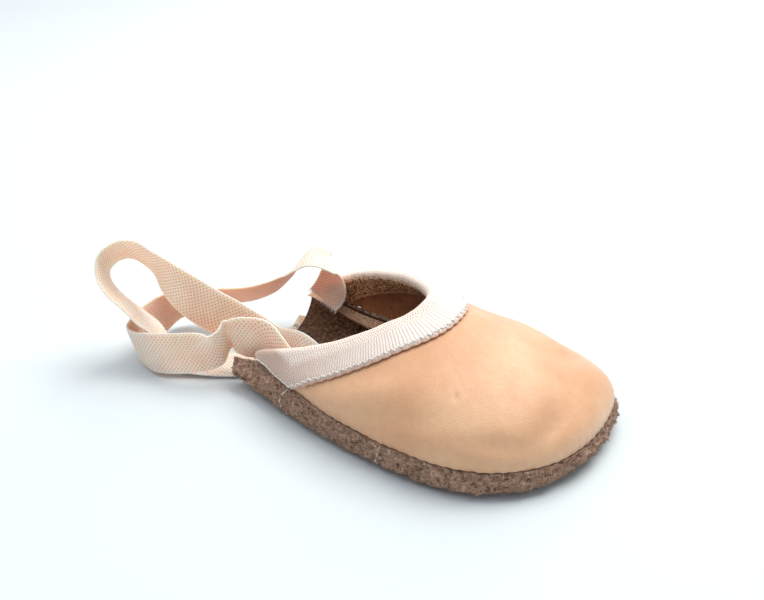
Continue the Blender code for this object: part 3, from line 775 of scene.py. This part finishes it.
# %% Dents and puckers
def pressed(grid, places, facing):
    """How far each point of the vamp is pressed in, in metres."""
    sunk = np.zeros(grid.shape[:2])
    order = np.array([m if side == NEAR else 2 - m for side, m in places])
    for side, share, up, long, wide, turn, depth in DENTS:
        goal = share if side == NEAR else 2 - share
        row = int(np.argmin(np.abs(order - goal)))
        column_at = int(up * (grid.shape[1] - 1))
        middle = grid[row, column_at]
        forward = unit(grid[min(row + 2, len(grid) - 1), column_at] - grid[row - 2, column_at])
        upward = np.cross(facing[row, column_at], forward)
        angle = math.radians(turn)
        first = forward * math.cos(angle) + upward * math.sin(angle)
        second = upward * math.cos(angle) - forward * math.sin(angle)
        away = grid - middle
        distance = (away @ first / (long * MM)) ** 2 + (away @ second / (wide * MM)) ** 2
        sunk += depth * MM * np.exp(-distance)
    return sunk


def puckers(grid):
    """How far the seam's stitches pull each point of the vamp in, in metres."""
    lengths = in_millimetres(grid[:, :2])[:, 0, 0] * MM
    heights = in_millimetres(grid)[..., 1] * MM
    wave = 0.5 + 0.5 * np.cos(math.tau * lengths / STITCH_PITCH)
    return PUCKER_DEPTH * wave[:, None] * np.exp(-((heights / PUCKER_REACH) ** 2))


print("puckers", PUCKER_DEPTH / MM, "mm deep")

# %% Vamp
vamp_places = walk(UPPER_START, VAMP_ROWS)
vamp_outer = np.array([rib(side, m, VAMP_STEPS) for side, m in vamp_places])
vamp_facing = outward_normals(vamp_outer)
vamp_inner = vamp_outer - vamp_facing * UPPER_WALL
vamp_inner[:, 0, 2] = np.maximum(vamp_inner[:, 0, 2], vamp_outer[:, 0, 2])
sunk = pressed(vamp_outer, vamp_places, vamp_facing) + puckers(vamp_outer)
edges = in_millimetres(vamp_outer)[..., 1]
from_collar = edges[:, -1:] - edges
sunk *= np.clip((from_collar - DENT_START) / DENT_EASE, 0.0, 1.0)
vamp_outer_skin = vamp_outer - vamp_facing * sunk[..., None]
vamp_inner_skin = vamp_inner - vamp_facing * sunk[..., None]
vamp = sheet("kid_leather_vamp", vamp_outer_skin, vamp_inner_skin, (LEATHER, FLESH, FLESH))
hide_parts("upper")
print("deepest dent", round(float(sunk.max() / MM), 2), "mm")

# %% [markdown]
# ## The bound collar
#
# Fold-over elastic is a narrow knitted band with a groove down its middle. It is folded over the
# raw collar and sewn through all layers with a zigzag, which pulls its lower edge into shallow
# scallops. Its ribs run across the band, so they fan out round the curve of the throat.

# %% Binding
OUTER_FLAP_STEPS = 14
FOLD_STEPS = 10
INNER_FLAP_STEPS = 9
SCALLOP_PITCH = 3.0 * MM
SCALLOP_DEPTH = 0.35 * MM
HEM_SHORT = 0.3 * MM
BAND_ROWS = 200
BAND_RIB_STEPS = 9
BAND_SWELL_SIZE = 6.0 * MM
BAND_SWELL = 0.16 * MM


def binding_grids():
    """Near face and far face of the folded band, from its outer lower edge round to its inner one."""
    ribs = np.array([rib(side, m, BAND_RIB_STEPS) for side, m in walk(UPPER_START, BAND_ROWS)])
    facing = outward_normals(ribs)
    collar_runs = in_millimetres(ribs[:, ::-1][:, :2])[:, 0, 0] * MM
    near_face, far_face = [], []
    for points, directions, run in zip(ribs[:, ::-1], facing[:, ::-1], collar_runs):
        height = travelled(points)[-1]
        scallop = SCALLOP_DEPTH * abs(math.sin(math.pi * run / SCALLOP_PITCH))
        outside = min(BINDING_OUTSIDE, height - 2 * CLEARANCE) - HEM_SHORT + scallop
        inside = min(BINDING_INSIDE, height - 2 * CLEARANCE)
        line = []
        for distance in np.linspace(outside, 0, OUTER_FLAP_STEPS + 1)[:-1]:
            line.append(along_line(points, directions, distance))
        beyond = unit(points[0] - points[1])
        middle = points[0] - directions[0] * 0.5 * UPPER_WALL
        for angle in np.linspace(0, math.pi, FOLD_STEPS + 1):
            turned = directions[0] * math.cos(angle) + beyond * math.sin(angle)
            line.append((middle + turned * 0.5 * UPPER_WALL, turned))
        for distance in np.linspace(0, inside, INNER_FLAP_STEPS + 1)[1:]:
            point, direction = along_line(points, directions, distance)
            line.append((point - direction * UPPER_WALL, -direction))
        near_face.append([point + direction * BINDING_EASE for point, direction in line])
        far_face.append([point + direction * (BINDING_EASE + BINDING_THICKNESS) for point, direction in line])
    return np.array(near_face), np.array(far_face)


print("band", (BINDING_OUTSIDE + BINDING_INSIDE) / MM, "mm wide without its fold")

# %% Bound collar
band_near, band_far = binding_grids()
# The band thins out to its two hems, as shares of its thickness.
hems = np.ones(band_far.shape[1])
hems[:3] = (0.35, 0.75, 0.95)
hems[-2:] = (0.8, 0.4)
band_outside = band_near + (band_far - band_near) * hems[None, :, None]
band_out = unit(band_far - band_near)
band_outside = roughened(band_outside, band_out, BAND_SWELL_SIZE, BAND_SWELL, 2)
binding = sheet("bound_collar", band_outside, band_near, (BINDING_FACE, BINDING_FACE, BINDING_FACE))
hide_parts("collar_binding")

# %% [markdown]
# ## Thread
#
# A stitch is a short rounded bar of thread, sunk a little into what it holds. One helper lays a
# bar between two points with a slight arch. The zigzag, the cord on the binding's inner hem, the
# two rows across the sole and the line on the seam margin all use it.

# %% Bars of thread
BAR_SIDES = 6
BAR_STEPS = 5


def stitches(name, bars, finish, radius):
    """Rounded bars of thread. Each bar is its two ends and the direction that it arches to."""
    points, faces = [], []
    for start, end, up in bars:
        run = end - start
        sideways = unit(np.cross(run, up))
        above = unit(np.cross(sideways, run))
        first = len(points)
        for i in range(BAR_STEPS + 1):
            t = i / BAR_STEPS
            arch = 4 * t * (1 - t)
            width = radius * (0.45 + 0.55 * arch ** 0.4)
            middle = start + run * t + above * radius * (1.3 * arch - 0.8)
            for k in range(BAR_SIDES):
                turn = math.tau * k / BAR_SIDES
                point = middle + width * (sideways * math.cos(turn) + above * math.sin(turn))
                point[2] = max(point[2], 0.0)
                points.append(point)
        for i in range(BAR_STEPS):
            for k in range(BAR_SIDES):
                a = first + i * BAR_SIDES + k
                b = first + i * BAR_SIDES + (k + 1) % BAR_SIDES
                faces.append((a, b, b + BAR_SIDES, a + BAR_SIDES))
        faces.append(tuple(range(first + BAR_SIDES - 1, first - 1, -1)))
        last = first + BAR_STEPS * BAR_SIDES
        faces.append(tuple(range(last, last + BAR_SIDES)))
    made = shape(name, points, faces, finish)
    made.data.shade_smooth()
    return made


print("a bar has", (BAR_STEPS + 1) * BAR_SIDES, "points")

# %% Lines of stitches
def evenly(points, others, pitch):
    """Points, and others that go with them, at even distances along a line."""
    lengths = travelled(points)
    places = np.arange(0.5 * pitch, lengths[-1], pitch)
    picked = []
    for line in (points, others):
        picked.append(np.stack([np.interp(places, lengths, line[:, k]) for k in range(3)], axis=1))
    return picked


def running_stitches(points, out, pitch, length):
    """Bars along a line, one in each pitch."""
    middles, outward = evenly(points, out, pitch)
    bars = []
    for i in range(1, len(middles) - 1):
        half = unit(middles[i + 1] - middles[i - 1]) * 0.5 * length
        bars.append((middles[i] - half, middles[i] + half, unit(outward[i])))
    return bars


def zigzag(low, high, out, pitch):
    """Bars that go up and down between two lines."""
    low_points, outward = evenly(low, out, pitch)
    high_points, _ = evenly(high, out, pitch)
    bars = []
    for i in range(min(len(low_points), len(high_points)) - 1):
        up = unit(outward[i])
        bars.append((low_points[i], high_points[i], up))
        bars.append((high_points[i], low_points[i + 1], up))
    return bars


print("stitches", STITCH_PITCH / MM, "mm apart along the seam")

# %% Zigzag and inner cord
ZIGZAG_PITCH = 2.5 * MM
ZIGZAG_RADIUS = 0.27 * MM
ZIGZAG_LOWER = 0.2 * MM
CORD_PITCH = 1.5 * MM
CORD_STITCH = 1.35 * MM
CORD_RADIUS = 0.26 * MM
ON_TOP = 0.1 * MM
down = unit(band_outside[:, 0] - band_outside[:, 2])
zigzag_low = band_outside[:, 1] + down * ZIGZAG_LOWER + band_out[:, 1] * 0.5 * ON_TOP
zigzag_high = band_outside[:, 2] + band_out[:, 2] * ON_TOP
zigzag_bars = zigzag(zigzag_low, zigzag_high, band_out[:, 1], ZIGZAG_PITCH)
bound_stitches = stitches("collar_zigzag", zigzag_bars, WHITE_THREAD, ZIGZAG_RADIUS)
inner_line = band_outside[:, -2] + band_out[:, -2] * ON_TOP
inner_bars = running_stitches(inner_line, band_out[:, -2], CORD_PITCH, CORD_STITCH)
inner_cord = stitches("collar_inner_cord", inner_bars, TAN_THREAD, CORD_RADIUS)

# %% [markdown]
# ## Rows across the sole
#
# Two rows of white stitches cross the sole where it bends. They pass over the fuzzy band at each
# side, and on the near side each begins with a loose tail of thread and a short stitch.

# %% Sole rows
# Shares of the sole's length: where the rows cross, and how far ahead each tail starts
ROW_PLACES = (0.20, 0.54)
TAIL_LEANS = (0.022, 0.004)
# How far the tails lie over the band's nap, and where they start and end, down from the seam
TAIL_RISE = 0.40 * MM
TAILS = ((0.8 * MM, 4.8 * MM), (5.6 * MM, 7.4 * MM))
STITCH_LENGTH = 2.3 * MM
STITCH_RADIUS = 0.2 * MM


def sole_row(share, inside):
    """Line of points across the sole at a share of its length, with their outward directions."""
    m = share * SOLE_LENGTH * SIDE_SHARE / TOE_START
    near_row = int(round(m * SOLE_ROWS))
    far_row = len(sole_outer) - 1 - near_row
    surface = sole_lining if inside else sole_skin
    facing = -sole_facing if inside else sole_facing
    return [np.concatenate([grid[near_row], grid[far_row][::-1]]) for grid in (surface, facing)]


row_bars = []
for share, lean in zip(ROW_PLACES, TAIL_LEANS):
    for inside in (False, True):
        points, out = sole_row(share, inside)
        bars = running_stitches(points, out, STITCH_PITCH, STITCH_LENGTH)
        # Inside, the row stops short of the seam margins. Outside, its first stitch is the tail's.
        row_bars += bars[2:-2] if inside else bars[1:]
    points, out = sole_row(share, False)
    ahead, _ = sole_row(share + lean, False)
    for line, (start, end) in zip((ahead, points), TAILS):
        top, up = along_line(line, out, start)
        row_bars.append((top + up * TAIL_RISE, along_line(points, out, end)[0] + up * TAIL_RISE, up))
for bar in row_bars:
    for end in bar[:2]:
        end[2] = max(end[2], 0.0)
row_stitches = stitches("sole_stitch_rows", row_bars, WHITE_THREAD, STITCH_RADIUS)

# %% [markdown]
# ## The seam margins
#
# Inside the shoe the cut margins of sole and vamp lie folded against the sole's edge. They are raw
# suede, light on top and dark where the knife went through, and never cut quite straight. Their tan
# is lightened past the suede's own colour, as painted light on the margins.

# %% Seam margins
MARGIN_ROWS = 260
MARGIN_STEPS = 12
LINE_STEPS = 30
# The margin is a thin hinge at the seam and full at this distance from it.
MARGIN_EASE = 2.0 * MM
MARGIN_SHORT = 0.3 * MM
RAGGED_STEP = 0.11
RAGGED_DEPTH = 0.55 * MM
MARGIN_GRAIN = 1.6 * MM
MARGIN_GRAIN_DEPTH = 0.12 * MM
MARGIN_PITCH = 2.6 * MM
MARGIN_STITCH = 1.9 * MM
MARGIN_THREAD = 0.16 * MM
# How far the margin's free edge stands off the sole, as a share of its own width
ALLOWANCE_STAND = {
    NEAR: {"along": (0.00, 0.30, 1.00), "stand": (0.10, 0.08, 0.05)},
    FAR: {
        "along": (0.00, 0.12, 0.22, 0.33, 0.50, 1.00),
        "stand": (0.80, 0.95, 0.95, 0.80, 0.40, 0.05),
    },
}

margin_places = walk(ALLOWANCE_START, MARGIN_ROWS)
margin_stations = np.array([sole_station(side, m, LINE_STEPS) for side, m in margin_places])
margin_facing = outward_normals(margin_stations)
under, over, sewn, sewn_out = [], [], [], []
for i, (side, m) in enumerate(margin_places):
    stand = column(ALLOWANCE_STAND[side], "stand", m)
    ragged = RAGGED_DEPTH * noise.fractal(Vector((i * RAGGED_STEP, 0.0, 0.0)), 0.8, 2.0, 4)
    low, high = [], []
    for distance in np.linspace(CLEARANCE, ALLOWANCE_WIDTH + ragged - MARGIN_SHORT, MARGIN_STEPS + 1):
        point, direction = along_line(margin_stations[i], margin_facing[i], distance)
        depth = SOLE_THICKNESS + CLEARANCE + stand * distance
        thick = ALLOWANCE_THICKNESS * min(0.1 + distance / MARGIN_EASE, 1.0)
        low.append(point - direction * depth)
        high.append(point - direction * (depth + thick))
    under.append(low)
    over.append(high)
    sewn.append(high[1])
    sewn_out.append(high[1] - low[1])
under, over = np.array(under), np.array(over)
margin_up = -margin_facing[:, :1].repeat(over.shape[1], axis=1)
over = roughened(over, margin_up, MARGIN_GRAIN, MARGIN_GRAIN_DEPTH)
margins = sheet("seam_margins", over, under, (MARGIN_SUEDE_PAINTED_LIGHT, MARGIN_SUEDE_PAINTED_LIGHT, MARGIN_EDGE))
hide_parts("seam_allowance")
margin_bars = running_stitches(np.array(sewn), np.array(sewn_out), MARGIN_PITCH, MARGIN_STITCH)
margin_row = stitches("margin_stitches", margin_bars, GREY_THREAD, MARGIN_THREAD)

# %% [markdown]
# ## The heel straps
#
# Each strap is one length of 15 mm elastic that keeps the twist in which it fell. A curve object
# with a bevel would roll about its own line, so each row of the table states both the place of the
# middle and the direction across the band.

# %% Ways of the straps
# The way of each strap from its sewn start, a row for each bend. x, y, z: its middle line, as
# shares of the strap reach, the ball half width and the strap width. aim and tilt: the bearing
# and the rise in degrees of the line across it from lower to upper edge.
LOWER_STRAP = (
    # x, y, z, aim, tilt
    (0.36, -0.51, 0.68, 0, 20),
    (0.24, -0.41, 0.95, 0, 60),
    (0.14, -0.39, 1.12, 20, 75),
    (0.04, -0.44, 1.13, 100, 85),
    (-0.05, -0.47, 1.09, -95, 80),
    (-0.10, -0.48, 1.08, -75, 65),
    (-0.10, -0.56, 0.98, -75, 65),
    (-0.13, -0.64, 0.86, -105, 75),
    (-0.23, -0.71, 0.80, 165, 80),
    (-0.38, -0.78, 0.71, 140, 80),
    (-0.52, -0.83, 0.65, 165, 80),
    (-0.63, -0.82, 0.59, -140, 80),
    (-0.74, -0.76, 0.54, -145, 75),
    (-0.80, -0.63, 0.52, -160, 75),
    (-0.84, -0.45, 0.52, -155, 75),
    (-0.85, -0.25, 0.56, -125, 75),
    (-0.80, -0.10, 0.69, -90, 65),
    (-0.65, 0.03, 0.82, -85, 60),
    (-0.47, 0.15, 0.96, -80, 50),
    (-0.30, 0.24, 1.10, -75, 45),
    (-0.18, 0.35, 1.27, -70, 40),
    (-0.10, 0.46, 1.51, -70, 25),
    (-0.03, 0.52, 1.85, -70, 5),
    (0.07, 0.53, 2.10, -75, -5),
    (0.18, 0.54, 2.08, -70, 5),
    (0.23, 0.57, 1.89, -50, 10),
    (0.24, 0.56, 1.64, -25, 0),
    (0.22, 0.56, 1.37, -15, -10),
    (0.20, 0.53, 1.19, -15, -15),
    (0.18, 0.48, 1.07, -15, -10),
)
UPPER_STRAP = (
    # x, y, z, aim, tilt
    (0.44, -0.40, 1.04, 30, 65),
    (0.20, -0.31, 0.82, 45, 60),
    (0.02, -0.29, 0.97, 45, 60),
    (-0.15, -0.34, 1.25, 50, 60),
    (-0.29, -0.43, 1.58, 45, 55),
    (-0.42, -0.49, 1.91, 30, 60),
    (-0.55, -0.50, 2.18, -5, 60),
    (-0.68, -0.48, 2.43, -40, 55),
    (-0.80, -0.49, 2.62, -50, 55),
    (-0.90, -0.54, 2.65, -60, 50),
    (-0.96, -0.62, 2.55, -65, 45),
    (-0.98, -0.70, 2.35, -65, 40),
    (-0.95, -0.75, 2.08, -65, 30),
    (-0.89, -0.75, 1.79, -60, 20),
    (-0.80, -0.72, 1.51, -60, 20),
    (-0.72, -0.68, 1.22, -60, 15),
    (-0.63, -0.63, 0.91, -60, 15),
    (-0.55, -0.61, 0.47, -60, 10),
    (-0.45, -0.57, 0.16, -65, 5),
    (-0.29, -0.47, 0.09, -65, 0),
    (-0.11, -0.34, 0.08, -60, 0),
    (-0.02, -0.20, 0.10, -40, 0),
    (0.03, -0.02, 0.13, -15, -5),
    (0.06, 0.13, 0.15, 0, -10),
)

# Where the straps lie against the shoe. along: share of the way to the toe. distance: from the seam,
# as shares of the strap width. aim and tilt: as above.
UPPER_SEWN = {"along": 0.25, "distance": 0.68, "aim": 10, "tilt": 55}
UPPER_END = {"along": 0.03, "distance": (1.40, 1.12, 0.90), "aim": 0, "tilt": 0}
print("bends", len(LOWER_STRAP), "and", len(UPPER_STRAP))

# %% Rows of a strap
STRAP_ROW_STEPS = 14
STRAP_COLUMNS = 15
# A selvage is thinner by this share, and most of that within its last millimetre or two.
SELVAGE_THINNING = 0.55
# How far apart the stations are that give a laid row its facing, as a share of the way
STATION_STEP = 0.02


def direction_across(aim, tilt):
    """Unit direction with a bearing and a rise in degrees."""
    bearing, rise = math.radians(aim), math.radians(tilt)
    return np.array((math.cos(bearing) * math.cos(rise), math.sin(bearing) * math.cos(rise), math.sin(rise)))


def free_rows(table):
    """Rows of a strap's table as a point and the direction across the strap."""
    rows = []
    for x, y, z, aim, tilt in table:
        point = (STRAP_REACH * x, BALL_HALF_WIDTH * y, STRAP_WIDTH * z)
        rows.append((*point, *direction_across(aim, tilt)))
    return rows


def laid_row(surface, side, lying, distance, depth):
    """Row of a strap that lies against the sole or the upper, at a distance from the seam. depth is
    measured in from the outer face."""
    shares = [lying["along"] + step for step in (-STATION_STEP, 0, STATION_STEP)]
    stations = np.array([surface(side, share, LINE_STEPS) for share in shares])
    facing = np.cross(np.gradient(stations, axis=0), np.gradient(stations, axis=1))[1]
    facing = unit(facing) * side * np.sign(facing[0, 1])
    point, outward = along_line(stations[1], facing, distance * STRAP_WIDTH)
    across = direction_across(lying["aim"], lying["tilt"])
    across = unit(across - outward * (across @ outward))
    return (*(point - outward * depth), *across)


def smooth_rows(rows, steps):
    """Rows on a smooth curve through the given ones."""
    rows = np.array(rows)
    padded = np.vstack([2 * rows[0] - rows[1], rows, 2 * rows[-1] - rows[-2]])
    made = []
    for a, b, c, d in zip(padded, padded[1:], padded[2:], padded[3:]):
        for t in np.linspace(0, 1, steps, endpoint=False):
            bend = (2 * a - 5 * b + 4 * c - d) * t * t + (3 * b - a - 3 * c + d) * t ** 3
            made.append(0.5 * (2 * b + (c - a) * t + bend))
    made.append(rows[-1])
    return np.array(made)


def ribbon(name, rows, finishes):
    """Elastic band along its rows, thinner at its two selvages."""
    rows = smooth_rows(rows, STRAP_ROW_STEPS)
    top, bottom = [], []
    for row, tangent in zip(rows, unit(np.gradient(rows[:, :3], axis=0))):
        across = unit(row[3:] - tangent * (row[3:] @ tangent))
        facing = np.cross(across, tangent)
        upper_line, lower_line = [], []
        for share in np.linspace(-1, 1, STRAP_COLUMNS):
            half = 0.5 * STRAP_THICKNESS * (1 - SELVAGE_THINNING * abs(share) ** 8)
            middle = row[:3] + across * share * 0.5 * STRAP_WIDTH
            upper_line.append(middle + facing * half)
            lower_line.append(middle - facing * half)
        top.append(upper_line)
        bottom.append(lower_line)
    top, bottom = np.array(top), np.array(bottom)
    return sheet(name, top, bottom, finishes), top, bottom


print("strap", STRAP_COLUMNS, "points across")

# %% Both straps
lower_finishes = (DOT_FACE, RIB_FACE, DOT_FACE)
lower_strap, lower_top, lower_bottom = ribbon("lower_heel_strap", free_rows(LOWER_STRAP), lower_finishes)
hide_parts("heel_strap_lower")
upper_depth = UPPER_WALL + BINDING_THICKNESS + 4 * STRAP_THICKNESS + 2 * CLEARANCE
below = -0.5 * STRAP_THICKNESS - 1.5 * CLEARANCE
upper_rows = [laid_row(rib, NEAR, UPPER_SEWN, UPPER_SEWN["distance"], upper_depth)]
upper_rows += free_rows(UPPER_STRAP)
upper_rows += [laid_row(sole_station, FAR, UPPER_END, distance, below) for distance in UPPER_END["distance"]]
upper_strap = ribbon("upper_heel_strap", upper_rows, (DOT_FACE, DOT_FACE, DOT_FACE))[0]
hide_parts("heel_strap_upper")

# %% [markdown]
# ## The raw end
#
# The lower strap was cut with scissors and left raw, so its yarns fray. The spikes that made the
# suede's fibres do for yarns too, longer and set along the cut.

# %% Frayed end
FRAY_LAYERS = 14
FRAY_SPREAD = 0.25 * MM
FRAY_YARN = (1.6 * MM, 0.06 * MM)
FRAY_LEAN = 0.6
end_roots = 0.5 * (lower_top[-1] + lower_bottom[-1])
end_out = unit(lower_top[-1] - lower_top[-2])
layers = [end_roots + chance.normal(size=end_roots.shape) * FRAY_SPREAD for _ in range(FRAY_LAYERS)]
frayed_out = np.tile(end_out, (FRAY_LAYERS, 1))
frayed_roots = np.concatenate(layers)
frayed = fibres("frayed_strap_end", frayed_roots, frayed_out, *FRAY_YARN, DOT_FACE, FRAY_LEAN)

# %% [markdown]
# ## Table, light and camera
#
# The shoe stands on a pale tabletop in soft light: a bright sky all round, a large window light
# above and behind that brightens the top of the vamp, a lower one behind it that lights the straps
# from the back, and a weak fill from the heel's near side. The camera looks down at 29 degrees from
# the toe's near side, at the distance that gives the photograph's perspective.

# %% Floor
def painted_tabletop(tree, place):
    depth = add(tree, "SeparateXYZ", {0: place})
    # Painted shade: the top turns greyer and a little pink further off, where less light reaches it.
    painted_falloff = add(tree, "MapRange", {"Value": depth.outputs["Y"], "From Min": 0.15, "From Max": 0.9})
    face = add(tree, "Mix", {0: painted_falloff, 6: "#D9E1E3", 7: "#CBC9CF"}, data_type="RGBA")
    return {"Base Color": face, "Roughness": 0.85, "Specular IOR Level": 0.1}


FLOOR_HALF = 3.0
# The top lies a hair under the soles, so that the two flat faces never share a plane.
FLOOR_DROP = 0.1 * MM
corners = [(x * FLOOR_HALF, y * FLOOR_HALF, -FLOOR_DROP) for x, y in ((-1, -1), (1, -1), (1, 1), (-1, 1))]
floor_data = bpy.data.meshes.new("tabletop")
floor_data.from_pydata(corners, [], [(0, 1, 2, 3)])
floor_data.materials.append(material("painted_tabletop", painted_tabletop))
floor = put_in_scene("tabletop", floor_data)
print("tabletop", 2 * FLOOR_HALF, "m square")

# %% Light
SHOE_MIDDLE = Vector((-0.035, 0.0, 0.015))
SKY_STRENGTH = 0.46


def window(name, place, size, power, tint):
    """Soft square light that faces the shoe."""
    data = bpy.data.lights.new(name, "AREA")
    data.size = size
    data.energy = power
    data.color = colour(tint)[:3]
    lamp = put_in_scene(name, data)
    lamp.location = place
    lamp.rotation_euler = (SHOE_MIDDLE - Vector(place)).to_track_quat("-Z", "Y").to_euler()


window("window_above", (0.14, 0.48, 1.00), 0.8, 12.0, "#FFFDF8")
window("window_behind", (-0.25, 0.95, 0.45), 0.9, 4.5, "#FFFAF2")
window("fill", (-0.35, -0.25, 1.00), 0.8, 3.4, "#FBFAFC")
sky = bpy.data.worlds.new("sky")
bpy.context.scene.world = sky
sky.use_nodes = True
dome = sky.node_tree.nodes["Background"].inputs
dome["Color"].default_value = colour("#E9F1FF")
dome["Strength"].default_value = SKY_STRENGTH
bpy.context.scene.view_settings.view_transform = "Standard"
print("three lamps and a sky of strength", SKY_STRENGTH)

# %% Camera
CAMERA_PLACE = (0.1139, -0.2539, 0.2003)
CAMERA_PAN = math.radians(120.3045)
CAMERA_TILT = math.radians(-29.2785)
LENS = 48.5
SENSOR_WIDTH = 36.0
view = bpy.data.cameras.new("camera")
view.sensor_width = SENSOR_WIDTH
view.lens = LENS
camera = put_in_scene("camera", view)
camera.location = CAMERA_PLACE
level = math.cos(CAMERA_TILT)
ahead = Vector((level * math.cos(CAMERA_PAN), level * math.sin(CAMERA_PAN), math.sin(CAMERA_TILT)))
camera.rotation_euler = ahead.to_track_quat("-Z", "Y").to_euler()
bpy.context.scene.camera = camera
print("camera", round((camera.location - SHOE_MIDDLE).length, 3), "m from the shoe")
